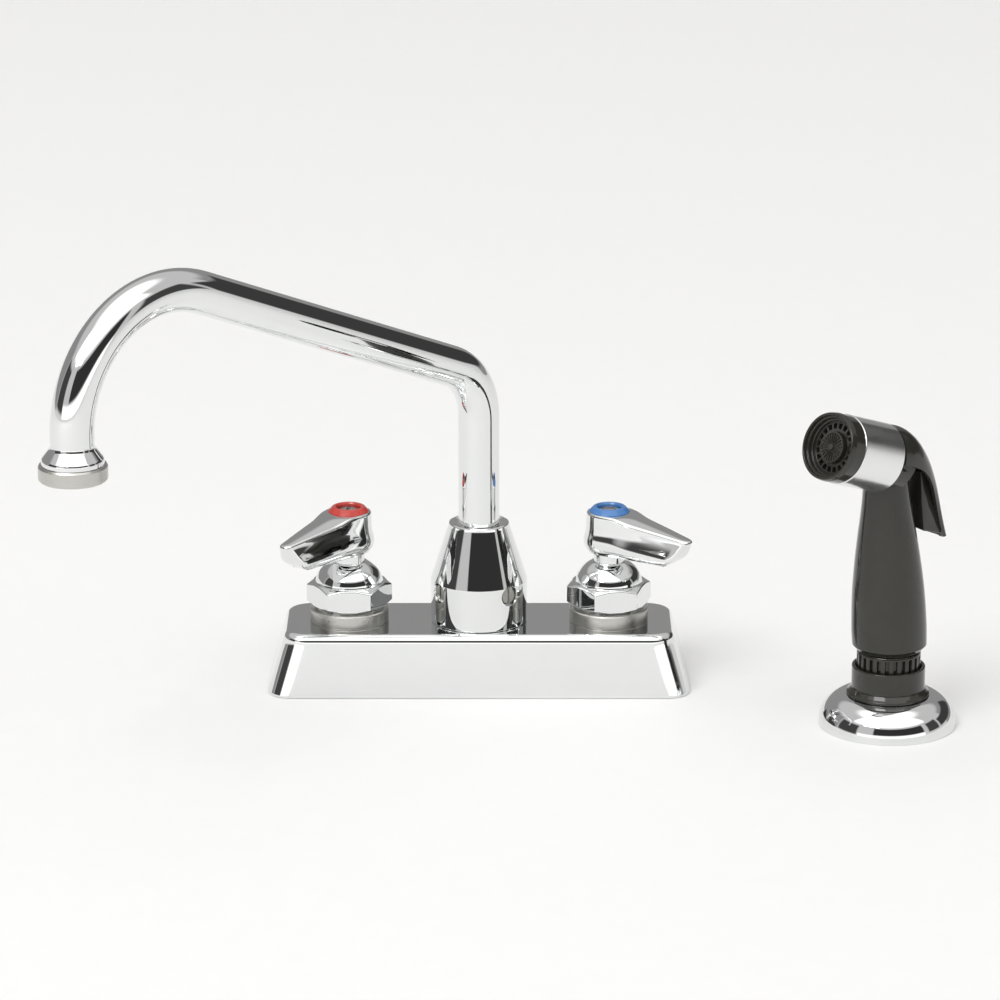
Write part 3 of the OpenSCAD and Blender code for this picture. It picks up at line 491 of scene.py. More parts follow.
def bonnet_nut(turn):
    """The bonnet: a neck, a hexagon between two turned chamfers, and a dome. Each column follows the
    hexagon's outline; a chamfer meets it at the height where the cone is as wide as the outline."""
    radius, angle = hexagon_outline(turn)
    hex_low = SPACER_HIGH[2] + NECK_HEIGHT
    hex_high = hex_low + HEX_HEIGHT
    cut = BONNET_FLATS / 2 - 0.25
    rise = 0.62
    climb = rise * (radius - cut)
    bite = np.minimum(0.18, climb * 0.8)
    rows = [(0 * radius, hex_low - NECK_HEIGHT), (0 * radius + cut - 1.6, hex_low - NECK_HEIGHT),
            (0 * radius + cut - 1.6, hex_low), (0 * radius + cut, hex_low)]
    rows += [(radius - bite / rise, hex_low + climb - bite), (radius, hex_low + climb + 0.2),
             (radius, hex_low + climb + 0.5), (radius, hex_high - climb - 0.5),
             (radius, hex_high - climb - 0.2), (radius - bite / rise, hex_high - climb + bite)]
    dome_foot = hex_high - 0.8
    dome_end = np.arccos((STEM_RADIUS + 0.7) / DOME_RADIUS)
    dome_height = (BONNET_TOP - dome_foot) / np.sin(dome_end)
    arc = np.linspace(np.arcsin(1.1 / dome_height), dome_end, 22)
    dome = [(DOME_RADIUS * np.cos(a), dome_foot + dome_height * np.sin(a)) for a in arc]
    groove = [(cut, hex_high), (cut - 0.3, hex_high + 0.05), (dome[0][0] + 0.45, hex_high + 0.05),
              (dome[0][0] + 0.1, hex_high + 0.15)]
    lip = [(STEM_RADIUS + 0.45, BONNET_TOP - 0.05), (STEM_RADIUS + 0.1, BONNET_TOP - 0.3),
           (0, BONNET_TOP - 0.3)]
    rows += [(0 * radius + r, z) for r, z in groove + dome + lip]
    points = np.stack([np.stack([r * np.cos(angle), r * np.sin(angle), z + 0 * angle], -1) for r, z in rows])
    return skin(points)


def spacer_ring():
    """The ring under a bonnet, with a broken upper edge."""
    low, high = SPACER_LOW[2], SPACER_HIGH[2]
    corners = [(CARTRIDGE_RADIUS, low, 0), (SPACER_RADIUS - 0.3, low, 0.1), (SPACER_RADIUS, low + 0.3, 0.15),
               (SPACER_RADIUS, high - 0.45, 0.15), (SPACER_RADIUS - 0.45, high, 0.15),
               (CARTRIDGE_RADIUS, high, 0)]
    return turned(fillets(corners, closed=True, steps=4), closed=True)


def lever_plan(hub, reach, half_width, corner, z_of):
    """Plan of a lever as one closed curve: the round hub, its tangents, and the tip's two round corners.
    z_of gives the height for x and y."""
    corner_x, corner_y = reach - corner, half_width - corner
    spread = np.arctan2(corner_y, corner_x)
    tangent = spread + np.arccos((hub - corner) / np.hypot(corner_x, corner_y))
    tip = np.linspace(0, 1, 5)[:-1]
    turn = np.linspace(0, tangent, 10)
    run = np.linspace(0, 1, 18)[1:-1]
    round_hub = np.linspace(tangent, np.pi, 30)
    start = np.array([corner_x + corner * np.cos(tangent), corner_y + corner * np.sin(tangent)])
    end = np.array([hub * np.cos(tangent), hub * np.sin(tangent)])
    upper = np.concatenate([
        np.column_stack([0 * tip + reach, corner_y * tip]),
        np.column_stack([corner_x + corner * np.cos(turn), corner_y + corner * np.sin(turn)]),
        start + (end - start) * run[:, None],
        np.column_stack([hub * np.cos(round_hub), hub * np.sin(round_hub)])])
    lower = upper[1:-1][::-1] * (1, -1)
    plan = np.concatenate([upper, lower])
    return np.column_stack([plan, z_of(plan[:, 0], plan[:, 1])])


def lever_shape():
    """The lever: plans stacked from its flat underside up its sides and over the edge of its sloping
    top, then inwards to the round seat of the index ring. Knots give, at equal steps of height, the hub's
    radius, the reach and the half width of the tip, which is widest low down."""
    low, high = LEVER_LOW[2], LEVER_HIGH[2]
    knots = [(8.1, 29.6, 4.0), (9.5, 32.0, 5.7), (9.95, 33.8, 6.2), (9.8, 35.2, 5.8), (9.3, 36.4, 5.1),
             (9.05, 37.4, 4.4), (9.0, 38.2, 3.8), (8.95, 39.0, 3.2), (8.9, 39.6, 2.9)]
    slope_start, slope = 8.5, 0.158

    def top_height(x, y):
        """The top: level over the hub, then falling evenly to the tip, with a crown across."""
        fall = slope * np.logaddexp(0, (x - slope_start) / 1.1) * 1.1
        crown = 1.9 * (np.clip(y / 9, -1, 1) ** 2) * smooth(6, 16, x)
        return high - fall - crown

    rows = []
    for inset in (5.5, 0.9, 0.3):
        hub, reach, half = np.array(knots[0]) - (inset - 0.3, inset - 0.3, 0.6 * (inset - 0.3))
        rows.append(lever_plan(hub, reach, max(half, 1.2), 1.0, lambda x, y: 0 * x + low))
    edge = 0.055
    for share in np.concatenate([[0.012, 0.03], np.linspace(0.06, 1 - edge, 26)]):
        hub, reach, half = through(knots, np.array([share]))[0]
        rows.append(lever_plan(hub, reach, half, 2.6,
                               lambda x, y: low + share * (top_height(x, y) - low)))
    hub, reach, half = knots[-1]
    rim = 0.95
    for turn in np.radians(np.linspace(12, 90, 8)):
        inset = rim * (1 - np.cos(turn))
        drop = rim * (1 - np.sin(turn))
        rows.append(lever_plan(hub - inset, reach - inset, half - inset, 2.6 - inset,
                               lambda x, y: top_height(x, y) - drop))
    seat = 8.05
    last = rows[-1]
    angle = np.arctan2(last[:, 1], last[:, 0])
    circle = np.column_stack([seat * np.cos(angle), seat * np.sin(angle)])
    for share in np.linspace(0, 1, 16)[1:]:
        plan = last[:, :2] + (circle - last[:, :2]) * share
        rows.append(np.column_stack([plan, top_height(plan[:, 0], plan[:, 1])]))
    for radius, z in ((seat, high - 2.4), (4.7, high - 2.4), (4.7, high - 3.9), (0, high - 3.9)):
        rows.append(np.column_stack([radius * np.cos(angle), radius * np.sin(angle), 0 * angle + z]))
    points, faces = skin(np.stack(rows))
    underside = list(range(len(angle)))[::-1]
    return points, faces + [underside]


def index_crown():
    """The coloured ring: a crowned section turned about the stem."""
    top = LEVER_HIGH[2]
    corners = [(4.75, top - 2.3, 0), (7.95, top - 2.3, 0.1), (7.95, top + 0.15, 0.4), (6.35, top + 1.75, 1.1),
               (5.2, top + 2.0, 0.5), (4.55, top + 1.2, 0.4), (4.75, top - 1.0, 0)]
    return turned(fillets(corners, closed=True, steps=8), 96, closed=True)


def lever_screw():
    """The screw in the ring: a domed head with a straight slot, over its shank. The slot's depth follows
    the distance from the head's middle line."""
    top = LEVER_HIGH[2]
    radius = np.concatenate([[0.0], np.linspace(0.3, 3.9, 34), [4.15, 4.3]])[:, None]
    angle = np.linspace(0, FULL_TURN, 160, endpoint=False)
    dome = 0.9 * (1 - (radius / 4.3) ** 2.2)
    across = np.abs(radius * np.sin(angle - 0.6))
    slot = 1.5 * (1 - smooth(0.45, 0.62, across)) * (1 - smooth(3.6, 3.9, radius))
    head = np.stack([radius * np.cos(angle), radius * np.sin(angle), top + 0.35 + dome - slot], -1)
    below = [np.stack([r * np.cos(angle), r * np.sin(angle), z + 0 * angle], -1)
             for r, z in ((4.3, top - 3.7), (1.8, top - 3.7), (1.8, top - 21), (0, top - 21))]
    return skin(np.concatenate([head, below]))


for side, place, heading, turn, ring_slot in (("hot", HOT, HOT_HEADING, 1, "red_index"),
                                              ("cold", COLD, COLD_HEADING, 10, "blue_index")):
    piece(f"{side}_spacer", "deck_set", spacer_ring(), upright(place), SATIN, "satin_nickel",
          f"{side}_spacer_ring")
    piece(f"{side}_bonnet_nut", "deck_set", bonnet_nut(turn), upright(place), CHROME, "polished_chrome",
          f"{side}_bonnet")
    piece(f"{side}_lever_casting", f"{side}_handle", lever_shape(), upright(place, heading),
          CHROME, "polished_chrome", f"{side}_lever")
    piece(f"{side}_index_crown", f"{side}_handle", index_crown(), upright(place), FINISHES[ring_slot],
          ring_slot, f"{side}_index_ring")
    piece(f"{side}_screw", f"{side}_handle", lever_screw(), upright(place, heading), STEEL, "steel",
          f"{side}_lever_screw")

# ---- Hub ----


def hub_casting():
    """The hub: a foot and a cone under a rounded lip, turned, with a flat-floored round recess for each
    screw. A point close to a recess's rim is drawn onto it, and a point inside sinks to its floor."""
    foot_top = DECK_TOP + HUB_FOOT
    top = HUB_HIGH[2]
    corners = [(0, DECK_TOP, 0), (HUB_RADIUS - 0.5, DECK_TOP, 0.1), (HUB_RADIUS, DECK_TOP + 0.5, 0.3),
               (HUB_RADIUS, foot_top, 0.5), (HUB_LIP + 0.25, top - 1.3, 0.6),
               (HUB_LIP + 0.05, top - 0.35, 0.4), (HUB_LIP - 0.9, top, 0.5),
               (SPOUT_RADIUS + 1.1, top - 0.75, 0.3), (SPOUT_RADIUS + 0.15, top - 0.8, 0),
               (SPOUT_RADIUS + 0.15, top - 1.6, 0), (0, top - 1.6, 0)]
    outline = fillets(corners, steps=6)
    screw_z = DECK_TOP + HUB_SCREW_HEIGHT
    extra_z = np.arange(screw_z - 4.6, screw_z + 4.6, 0.2)
    side = (outline[:, 0] > HUB_LIP) & (outline[:, 1] > DECK_TOP + 0.4) & (outline[:, 1] < top - 1.0)
    first, last = np.flatnonzero(side)[[0, -1]]
    levels = np.unique(np.concatenate([outline[first:last + 1, 1], extra_z]))
    levels = levels[np.concatenate([[True], np.diff(levels) > 0.012])]
    widths = np.interp(levels, outline[first:last + 1, 1], outline[first:last + 1, 0])
    outline = np.concatenate([outline[:first], np.column_stack([widths, levels]), outline[last + 1:]])
    windows = [np.radians(a + np.arange(-15, 15, 0.6)) for a in HUB_SCREW_TURNS]
    angle = np.concatenate([np.linspace(0, FULL_TURN, 110, endpoint=False), *windows])
    angle = np.unique(np.mod(angle, FULL_TURN))
    angle = angle[np.concatenate([[True], np.diff(angle) > 0.004])]
    r = np.repeat(outline[:, 0, None], len(angle), 1)
    z = np.repeat(outline[:, 1, None], len(angle), 1)
    a = np.repeat(angle[None], len(outline), 0)
    outside = r > HUB_LIP + 0.5
    for turn in np.radians(HUB_SCREW_TURNS):
        across = HUB_RADIUS * (np.mod(a - turn + np.pi, FULL_TURN) - np.pi)
        up = z - screw_z
        reach = np.hypot(across, up)
        rim = outside & (np.abs(reach - HUB_RECESS_RADIUS) < 0.13)
        pull = np.where(rim, HUB_RECESS_RADIUS / np.maximum(reach, 1e-6), 1.0)
        inside = outside & (reach < HUB_RECESS_RADIUS - 0.13)
        a = np.where(rim, turn + across * pull / HUB_RADIUS, a)
        z = np.where(rim, screw_z + up * pull, z)
        floor = (HUB_RADIUS - HUB_RECESS_DEPTH) / np.cos(across / HUB_RADIUS)
        r = np.where(inside, np.minimum(r, floor), r)
    return skin(np.stack([r * np.cos(a), r * np.sin(a), z], -1))


piece("hub_casting", "deck_set", hub_casting(), upright(SPOUT), CHROME, "polished_chrome", "spout_hub")

# ---- Spout ----


def spout_line():
    """The spout's centre line in its own upright plane, as rows of (distance out, height, direction's
    two parts): the riser, a bend, the arm, a bend and the drop. Straights have few points, bends many."""
    slope = np.arctan2(ARM_RISE, SPOUT_REACH)
    elbow = DECK_TOP + ELBOW_HEIGHT
    low_turn, high_turn = np.pi / 2 - slope, np.pi / 2 + slope
    low_tangent, high_tangent = LOW_BEND * np.tan(low_turn / 2), HIGH_BEND * np.tan(high_turn / 2)
    drop_top = elbow + ARM_RISE - high_tangent
    ring_top = OUTLET_HIGH[2]
    low_angles = np.pi - np.linspace(0, low_turn, 33)
    high_angles = np.pi - low_turn - np.linspace(0, high_turn, 61)
    riser_top = elbow - low_tangent
    riser = [(0, z, 0, 1) for z in (DECK_TOP + 8, HUB_HIGH[2] + 1, riser_top - 20, riser_top - 0.6)]
    low = [(LOW_BEND + LOW_BEND * np.cos(a), riser_top + LOW_BEND * np.sin(a), np.sin(a), -np.cos(a))
           for a in low_angles]
    arm_length = np.hypot(SPOUT_REACH, ARM_RISE) - low_tangent - high_tangent
    way = np.array([np.cos(slope), np.sin(slope)])
    arm_start = np.array([0, elbow]) + way * low_tangent
    arm = [(*(arm_start + way * d), *way) for d in np.linspace(0.6, arm_length - 0.6, 12)]
    high_middle = np.array([SPOUT_REACH - HIGH_BEND, drop_top])
    high = [(*(high_middle + HIGH_BEND * np.array([np.cos(a), np.sin(a)])), np.sin(a), -np.cos(a))
            for a in high_angles]
    drop = [(SPOUT_REACH, z, 0, -1) for z in (drop_top - 0.6, ring_top + 9)]
    return np.array(riser + low + arm + high + drop)


def spout_tube():
    """The bent tube: a circle square to the centre line at each of its points. At the outlet the circle
    widens into the bell, turns in over its lip and runs back up inside to close."""
    line = spout_line()
    ring_top = OUTLET_HIGH[2]
    bell = OUTLET_RADIUS - 1.1
    lip = fillets([(SPOUT_RADIUS, ring_top + 9, 0), (SPOUT_RADIUS, ring_top + 6.3, 3.0),
                   (bell, ring_top + 1.9, 2.2), (bell, ring_top - 0.2, 0.1),
                   (bell - 1.6, ring_top - 0.2, 0)], steps=9)[1:]
    inner = np.array([(SPOUT_RADIUS - SPOUT_WALL, ring_top + 1), (SPOUT_RADIUS - SPOUT_WALL, ring_top + 12),
                      (0, ring_top + 12)])
    tail = np.concatenate([lip, inner])
    still = np.zeros(len(tail))
    tail_rows = np.column_stack([still + SPOUT_REACH, tail[:, 1], still, still - 1])
    rows = np.concatenate([line, tail_rows])
    radius = np.concatenate([np.full(len(line), SPOUT_RADIUS), tail[:, 0]])
    rows = np.concatenate([rows[:1], rows])
    radius = np.concatenate([[0.0], radius])
    angle = np.linspace(0, FULL_TURN, 72, endpoint=False)
    side = np.column_stack([-rows[:, 3], 0 * radius, rows[:, 2]])
    lateral = np.array([0.0, 1.0, 0.0])
    centre = np.column_stack([rows[:, 0], 0 * radius, rows[:, 1]])
    points = (centre[:, None] + radius[:, None, None]
              * (np.cos(angle)[None, :, None] * side[:, None] + np.sin(angle)[None, :, None] * lateral))
    return skin(points)


def outlet_collar():
    """The turned ring round the outlet, with a groove above its foot."""
    low, high = OUTLET_LOW[2], OUTLET_HIGH[2]
    corners = [(OUTLET_RADIUS - 2.4, low + 0.2, 0), (OUTLET_RADIUS - 1.9, low, 0.15),
               (OUTLET_RADIUS - 0.7, low, 0.4), (OUTLET_RADIUS, low + 0.8, 0.3),
               (OUTLET_RADIUS, high - 0.7, 0.3), (OUTLET_RADIUS - 0.5, high, 0.2),
               (OUTLET_RADIUS - 1.25, high, 0), (OUTLET_RADIUS - 1.25, low + 2, 0)]
    return turned(fillets(corners, closed=True, steps=5), 112, closed=True)


OUTLET = upright(upright(SPOUT, SPOUT_HEADING).place(np.array([SPOUT_REACH, 0.0, 0.0])), SPOUT_HEADING)
piece("spout_gooseneck", "spout", spout_tube(), upright(SPOUT, SPOUT_HEADING), CHROME, "polished_chrome",
      "spout_tube")
piece("outlet_collar", "spout", outlet_collar(), OUTLET, SATIN, "satin_nickel", "outlet_ring")

# ---- Spray holder ----


def holder_dome():
    """The flange: a quarter ellipse from the cup's foot down to the deck, with its wall's thickness."""
    radius, top = FLANGE_HIGH[0] - SPRAY[0], FLANGE_HIGH[2]
    foot = 0.6
    throat = CUP_RADIUS + 1.9
    outer = np.radians(np.linspace(79, 0, 26))
    arc = np.column_stack([throat + (radius - throat) * np.cos(outer),
                           foot + (top - foot - 0.2) * np.sin(outer)])
    inner = np.radians(np.linspace(0, 78, 14))
    under = np.column_stack([throat + (radius - throat - FLANGE_WALL) * np.cos(inner),
                             foot + (top - foot - FLANGE_WALL - 0.4) * np.sin(inner)])
    rim = fillets([(radius, foot, 0), (radius, 0, 0.5), (radius - FLANGE_WALL, 0, 0.2),
                   (radius - FLANGE_WALL, foot, 0)])
    hole = [(CUP_SHANK + 0.05, top - FLANGE_WALL), (CUP_SHANK + 0.05, top)]
    return turned(np.concatenate([hole, arc[:-1], rim, under[1:]]), 160, closed=True)


def holder_socket():
    """The open cup with its foot ring, above the threaded shank."""
    floor = FLANGE_HIGH[2]
    top = CUP_HIGH[2]
    inner = CUP_RADIUS - CUP_WALL
    corners = [(9, 1, 0), (CUP_SHANK - 0.3, 1, 0.2), (CUP_SHANK - 0.2, floor, 0),
               (CUP_RADIUS + 1.9, floor, 0), (CUP_RADIUS + 1.9, floor + 0.7, 0.5),
               (CUP_RADIUS + 1.1, floor + 1.5, 0.4),
               (CUP_RADIUS, floor + 3.0, 1.6), (CUP_RADIUS, top, 0.45), (inner, top, 0.4),
               (inner, floor + 4.7, 0.8), (9, floor + 3.2, 0.4)]
    return turned(fillets(corners, closed=True, steps=5), 128, closed=True)


piece("holder_dome", "deck_set", holder_dome(), upright(SPRAY), CHROME, "polished_chrome", "holder_flange")
piece("holder_socket", "deck_set",
      joined(holder_socket(), threaded(CUP_SHANK, CUP_LOW[2], 0.8, 2.0, 0.7, 9)),
      upright(SPRAY), BLACK, "black_plastic", "holder_cup")

# ---- Threads under the deck ----

SHANK_LOW, SHANK_HIGH = corners_of("hot_shank")
NIPPLE_LOW, NIPPLE_HIGH = corners_of("spray_outlet_nipple")
for side, place in (("hot", HOT), ("cold", COLD)):
    piece(f"{side}_shank_thread", "deck_set",
          threaded(SHANK_RADIUS, SHANK_LOW[2], SHANK_HIGH[2], 1.81, 0.75, SHANK_RADIUS - 3),
          upright(place), BRASS, "brass", f"{side}_shank")
piece("nipple_thread", "deck_set",
      threaded(NIPPLE_RADIUS, NIPPLE_LOW[2], NIPPLE_HIGH[2], 1.41, 0.6, NIPPLE_RADIUS - 2),
      upright(SPOUT), BRASS, "brass", "spray_outlet_nipple")

# ---- Spray coupling ----


def coupling_collar():
    """The collar between hose and grip: upright pads round it between two plain rims. A pad's flanks
    rise smoothly with the angle, and its ends with the height."""
    low, high = COUPLING_LOW[2], COUPLING_HIGH[2]
    radius = CUP_RADIUS - CUP_WALL - 0.4
    pads = 24
    angle = np.linspace(0, FULL_TURN, pads * 12, endpoint=False)
    height = np.concatenate([[low, low + 0.3, low + 1.9, low + 2.2], np.linspace(low + 2.6, high - 1.9, 12),
                             [high - 1.5, high - 1.1, high - 0.4, high]])[:, None]
    wave = 0.5 + 0.5 * np.cos(pads * angle)
    pad = smooth(0.28, 0.52, wave)
    plain = np.maximum(1 - smooth(low + 1.9, low + 2.4, height), smooth(high - 1.6, high - 1.1, height))
    rim = (height > high - 0.2) | (height < low + 0.2)
    r = radius - 1.25 * (1 - np.maximum(pad, plain)) - 0.3 * rim
    outer = np.stack([r * np.cos(angle), r * np.sin(angle), height + 0 * angle], -1)
    inner = [np.stack([5.1 * np.cos(angle), 5.1 * np.sin(angle), z + 0 * angle], -1) for z in (high, low)]
    return skin(np.concatenate([outer, inner]), round_rows=True)


piece("coupling_collar", "spray_inlet", coupling_collar(), upright(SPRAY), BLACK, "black_plastic",
      "spray_coupling")

# ---- Spray head ----


def grip_shape():
    """The grip: near-round level sections stacked up its leaning axis. Knots give, at equal steps of
    height, the share of the largest radius. Six shallow flats run up it, and its foot is chamfered."""
    low = GRIP_LOW[2]
    length = GRIP_HIGH[2] - low
    knots = [0.985, 1.0, 0.99, 0.965, 0.92, 0.86, 0.79, 0.71, 0.645, 0.61]
    height = np.concatenate([[0.0, 0.25, 0.5, 2.2, 2.4, 2.6], np.linspace(4.2, length, 44)])
    share = through(knots, height / length)[:, 0]
    radius = GRIP_RADIUS * share - 2.0 * np.clip(1 - height / 2.4, 0, 1) - 0.3 * (height < 0.1)
    over = np.radians(np.linspace(0, 90, 10))[1:]
    radius = np.concatenate([[0.0], radius, radius[-1] * np.cos(over)])
    height = np.concatenate([[0.0], height, length + 5.5 * np.sin(over)])
    angle = np.linspace(0, FULL_TURN, 144, endpoint=False)
    flats = 1 - 0.022 * (0.5 - 0.5 * np.cos(5 * angle + 0.9)) ** 0.8
    lean = np.tan(np.radians(GRIP_LEAN))
    x = radius[:, None] * np.cos(angle) * flats + lean * height[:, None]
    y = radius[:, None] * np.sin(angle) * flats
    return skin(np.stack([x, y, low + height[:, None] + 0 * angle], -1))


def band_sleeve():
    """The bright band round the barrel."""
    start, end = BAND_START, BAND_START + BAND_LENGTH
    corners = [(BARREL_RADIUS, start, 0), (BAND_RADIUS, start, 0.35), (BAND_RADIUS, end, 0.35),
               (BARREL_RADIUS, end, 0)]
    return turned(fillets(corners, closed=True), closed=True)


def nose_shape():
    """The black nose ring: its rounded rim, and the stepped bore in front of the spray face."""
    start = BAND_START + BAND_LENGTH
    end = start + NOSE_LENGTH
    rim = BAND_RADIUS - 0.3
    corners = [(8, start, 0), (rim, start, 0.2), (rim + 0.1, end - 2.2, 0.6), (rim - 0.3, end, 0.6),
               (rim - 1.15, end, 0.3), (rim - 1.5, end - 1.5, 0.25), (rim - 2.0, end - 1.6, 0.2),
               (rim - 2.3, end - 3.2, 0.2), (rim - 2.8, end - 3.3, 0.2), (rim - 2.9, start + 1.0, 0),
               (8, start + 1.0, 0)]
    return turned(fillets(corners, closed=True, steps=5), closed=True)


def face_plate():
    """The spray face: height over a polar grid. A ring of slots is sunk between two steps, and the boss in
    the middle carries raised rays round a small centre."""
    start = BAND_START + BAND_LENGTH
    floor, face = start + 0.2, start + 2.9
    radius = np.concatenate([[0.0], np.linspace(0.5, 10.0, 66)])[:, None]
    angle = np.linspace(0, FULL_TURN, 240, endpoint=False)
    slot_round = smooth(0.25, 0.45, 0.5 + 0.5 * np.cos(20 * angle))
    slot_out = smooth(7.3, 7.5, radius) * (1 - smooth(9.0, 9.2, radius))
    ray_round = smooth(0.62, 0.85, 0.5 + 0.5 * np.cos(24 * angle))
    ray_out = smooth(1.7, 2.1, radius) * (1 - smooth(5.0, 5.4, radius))
    boss = 1.9 * (1 - smooth(5.9, 6.2, radius)) - 0.35 * (1 - smooth(5.0, 5.3, radius))
    hub = 0.7 * (1 - smooth(1.2, 1.6, radius))
    height = face + boss + hub + 0.45 * ray_round * ray_out - 2.0 * slot_round * slot_out
    height = height + 0.5 * smooth(9.5, 9.7, radius)
    top = np.stack([radius * np.cos(angle), radius * np.sin(angle), height + 0 * angle], -1)
    back = [np.stack([r * np.cos(angle), r * np.sin(angle), floor + 0 * angle], -1) for r in (10.0, 0.0)]
    return skin(np.concatenate([top, back]))


def side_view(points):
    """Points (forward, height above the barrel's axis) of the spray's upright plane, in its own stand."""
    points = np.asarray(points, float)
    return np.column_stack([points[:, 0], 0 * points[:, 0], points[:, 1] + HEAD_HEIGHT])


TIP_DROP = -32.4
WEB_HALF = 6.0
TRIGGER_BACK = [(3.4, 15.05), (-2.2, 13.2), (-6.9, 9.6), (-10.7, 4.3), (-13.6, -1.6), (-16.0, -7.6),
                (-17.9, -13.6), (-19.8, -20.2), (-21.8, -26.6), (-23.5, TIP_DROP)]
TRIGGER_EDGE = [(6.9, 2.3), (1.6, 0.6), (-3.7, -2.0), (-8.0, -5.6), (-11.3, -9.9), (-13.7, -14.5),
                (-15.6, -19.2), (-17.2, -23.6), (-18.9, -28.2), (-21.0, TIP_DROP - 0.2)]
TRIGGER_HALF = [(13.1,), (12.9,), (12.3,), (11.2,), (9.9,), (8.8,), (8.0,), (7.5,), (7.2,), (7.0,)]


def trigger_skin():
    """The trigger's hood and blade: ribs set along it. A rib is half an ellipse from one lower edge over
    the back to the other, squarer towards the tip, and comes back inside it a wall's thickness in."""
    along = np.linspace(0, 1, 60)
    back, edge = side_view(through(TRIGGER_BACK, along)), side_view(through(TRIGGER_EDGE, along))
    half = through(TRIGGER_HALF, along)
    squareness = (1 - 0.45 * smooth(0.25, 0.8, along))[:, None]

    def rib(back, edge, half, squareness):
        """Half ellipses over the backs, which a power of less than 1 makes squarer."""
        turn = np.linspace(-np.pi / 2, np.pi / 2, 41)[None]
        rise = np.abs(np.cos(turn)) ** squareness
        across = half * np.sign(turn) * np.abs(np.sin(turn)) ** squareness
        return edge[:, None] + (back - edge)[:, None] * rise[..., None] + across[..., None] * (0, 1, 0)

    outer = rib(back, edge, half, squareness)
    depth = np.linalg.norm(back - edge, axis=1)[:, None]
    wall = 1.7
    inner_back = back + (edge - back) / depth * wall
    inner = rib(inner_back, edge + (edge - back) / depth * 0.02, half - wall, squareness)[:, ::-1]
    ribs = np.concatenate([outer, inner], 1)
    tip = ribs[-1:]
    end_rows = [tip * (1 - k) + tip.mean(1, keepdims=True) * k + (0, 0, -0.5 * np.sin(np.pi * k))
                for k in (0.12, 0.3)]
    return skin(np.concatenate([ribs, *end_rows]), capped=True)


def plate(outline, half, edge=0.5):
    """A flat plate in the spray's upright plane: an outline drawn in at both faces by a small radius."""
    outline = np.asarray(outline, float)
    middle = outline.mean(0)
    rows = []
    for turn in np.radians(np.linspace(-90, 90, 9)):
        inset = edge * (1 - np.cos(turn))
        lateral = np.sign(turn) * (half - edge) + edge * np.sin(turn)
        size = 1 - inset / np.linalg.norm(outline - middle, axis=1, keepdims=True)
        row = side_view(middle + (outline - middle) * size)
        row[:, 1] = lateral
        rows.append(row)
    return skin(np.stack(rows), capped=True)


def trigger_web():
    """The web under the blade, which the fingers don't touch: its forward edge follows the grip."""
    inner = [(-20.3, -31.2), (-10.9, -28.2), (-9.6, -18), (-8.9, -9), (-8.4, -4.5)]
    outer = [(-10.5, -4.5), (-14.6, -12), (-17.6, -21.5), (-21.6, -31.8)]
    corners = [(x, y, 0.4) for x, y in inner + outer]
    return plate(fillets(corners, closed=True, steps=4), WEB_HALF)


def cut(thing, surface, stand):
    """Takes a closed surface out of a piece, and leaves the result as its mesh."""
    tool = piece("cutter", "deck_set", surface, stand, BLACK, "black_plastic")
    modifier = thing.modifiers.new("cut", "BOOLEAN")
    modifier.operation = "DIFFERENCE"
    modifier.solver = "EXACT"
    modifier.object = tool
    bpy.context.view_layer.update()
    shape = bpy.data.meshes.new_from_object(thing.evaluated_get(bpy.context.evaluated_depsgraph_get()))
    thing.modifiers.clear()
    thing.data = shape
    shape.set_sharp_from_angle(angle=SHARP_EDGE)
    bpy.data.objects.remove(tool)


def hinge_pin():
    """The pin that the trigger turns on, with both ends inside the hood."""
    half = 9.6
    corners = [(0, -half, 0), (1.2, -half, 0.3), (1.2, half, 0.3), (0, half, 0)]
    return turned(fillets(corners, steps=4), 32)


def web_slot():
    """The slot in the back of the grip that the web swings into."""
    outline = np.array([(-30.0, -40.0), (-5.4, -35.0), (-4.4, -21.0), (-4.4, 4.0), (-30.0, 4.0)])
    rows = []
    for lateral in (-WEB_HALF - 0.7, WEB_HALF + 0.7):
        row = side_view(outline)
        row[:, 1] = lateral
        rows.append(row)
    return skin(np.stack(rows), capped=True)


grip = piece("grip_moulding", "spray_head", grip_shape(), AT_SPRAY, BLACK, "black_plastic", "spray_grip")
cut(grip, web_slot(), AT_SPRAY)
piece("band_sleeve", "spray_head", band_sleeve(), ALONG_BARREL, BRUSHED, "polished_chrome", "spray_band")
piece("nose_moulding", "spray_head", nose_shape(), ALONG_BARREL, BLACK, "black_plastic", "nose_ring")
piece("face_plate", "spray_head", face_plate(), ALONG_BARREL, BLACK, "black_plastic",
      "spray_face", "face_boss")
piece("trigger_moulding", "trigger", joined(trigger_skin(), trigger_web()), AT_SPRAY, BLACK, "black_plastic",
      "trigger")

ACROSS_PIN = Stand(np.array(JOINTS["trigger_squeeze"]["pos_m"]) / MM, BARREL_WAY,
                   JOINTS["trigger_squeeze"]["axis"])
piece("hinge_pin", "spray_head", hinge_pin(), ACROSS_PIN, STEEL, "steel", "trigger_pin")

# ---- Finishes of the CAD nodes that stay ----

SLOT_OF = {part["node"]: part["material_slot"] for part in frame["record"]["subparts"]}
for name, node in frame["nodes"].items():
    node.data.materials.clear()
    node.data.materials.append(FINISHES[SLOT_OF[name]])

# ---- Studio ----


ROOM_LEVEL = 0.80
SEEN_LEVEL = 0.95
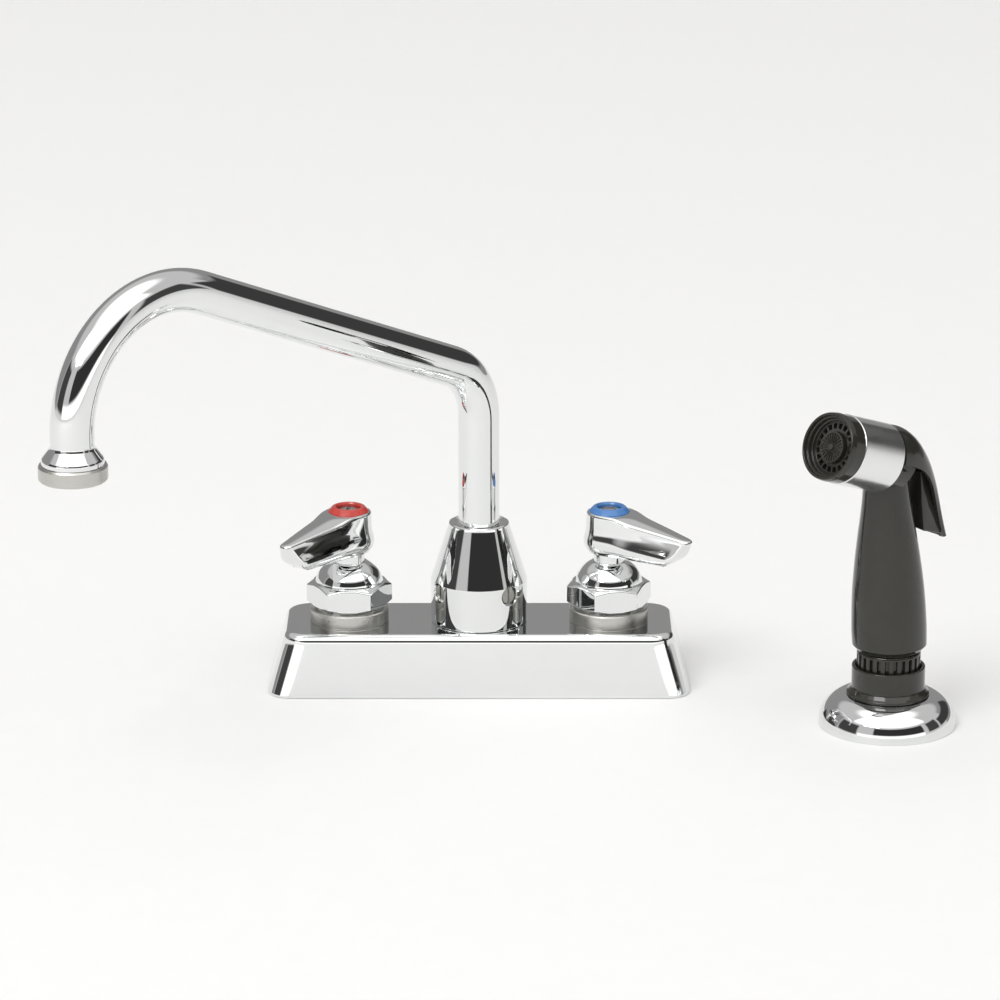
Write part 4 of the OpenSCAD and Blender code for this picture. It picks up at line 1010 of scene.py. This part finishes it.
# Cards of the light tent, each laid over those before it: brightness, bearings, elevations, soft edge
CARDS = [(0.62, (-200, 200), (3, 60), 8), (0.30, (116, 200), (-3, 34), 4), (0.30, (-200, -96), (-3, 34), 4),
         (0.05, (98, 152), (6, 26), 2), (1.45, (-55, 62), (-12, 8), 2), (0.035, (-28, 61), (9.5, 32), 1.5),
         (0.06, (-94, -57), (2, 31), 2), (0.06, (70, 94), (5, 31), 2), (1.7, (-75, 75), (38, 80), 4),
         (1.5, (-200, 200), (62, 100), 6)]


def studio():
    """The light tent as a world: a pale room in which soft-edged cards stand at chosen bearings and
    elevations, in degrees. Bearing 0 is towards the viewer and 90 to the right; the viewer's own rays see
    plain pale."""
    world = bpy.data.worlds.new("studio")
    bpy.context.scene.world = world
    world.use_nodes = True
    tree = world.node_tree
    tree.nodes.clear()
    way = add_node(tree, "ShaderNodeTexCoord", out="Generated")
    split = add_node(tree, "ShaderNodeSeparateXYZ", {}, {0: way})
    x, y, z = (Wire(tree, split.socket.node.outputs[k]) for k in range(3))
    elevation = math_of(tree, "ARCSINE", z) * (180 / np.pi)
    bearing = math_of(tree, "ARCTAN2", x, -1 * y) * (180 / np.pi)

    def within(value, low, high, soft):
        """A mask that is 1 from low to high and fades over a soft edge on both sides."""
        return (step_between(tree, value, low - soft, low + soft)
                * (1 - step_between(tree, value, high - soft, high + soft)))

    light = ROOM_LEVEL + 0 * z
    for level, bearings, elevations, soft in CARDS:
        mask = within(bearing, *bearings, soft) * within(elevation, *elevations, soft)
        light = light + mask * (level - light)
    seen = add_node(tree, "ShaderNodeLightPath", out="Is Camera Ray")
    light = light + seen * (SEEN_LEVEL - light)
    background = add_node(tree, "ShaderNodeBackground", {},
                          {"Color": (1, 0.995, 0.985, 1), "Strength": light})
    add_node(tree, "ShaderNodeOutputWorld", {}, {"Surface": background})


def floor():
    """The pale floor on which the faucet stands."""
    half = 9.0
    mesh = bpy.data.meshes.new("floor")
    corners = [(-half, -half, 0), (half, -half, 0), (half, half, 0), (-half, half, 0)]
    mesh.from_pydata(corners, [], [(0, 1, 2, 3)])
    mesh.materials.append(finish("floor_paper", ((0.86, 0.86, 0.855), (0.88, 0.88, 0.875)), (0.6, 0.7)))
    thing = bpy.data.objects.new("floor", mesh)
    bpy.context.scene.collection.objects.link(thing)


def soft_lamp(name, place, size, power):
    """A square soft lamp that looks at the faucet."""
    data = bpy.data.lights.new(name, "AREA")
    data.shape = "SQUARE"
    data.size = size
    data.energy = power
    lamp = bpy.data.objects.new(name, data)
    bpy.context.scene.collection.objects.link(lamp)
    lamp.location = place
    lamp.rotation_euler = (Vector((0, 0, 0.08)) - lamp.location).to_track_quat("-Z", "Y").to_euler()


def camera():
    """A long lens from the front, a little above the faucet."""
    data = bpy.data.cameras.new("camera")
    data.sensor_width = 36
    data.lens = 164.7
    data.clip_end = 30
    thing = bpy.data.objects.new("camera", data)
    bpy.context.scene.collection.objects.link(thing)
    target = Vector((0.0082, 0, 0.0731))
    thing.location = (0.0082, -1.703, 0.594)
    thing.rotation_euler = (target - thing.location).to_track_quat("-Z", "Y").to_euler()
    bpy.context.scene.camera = thing


studio()
floor()
soft_lamp("key_lamp", (-1.4, -2.2, 3.0), 1.8, 55)
camera()
bpy.context.scene.view_settings.view_transform = "Standard"
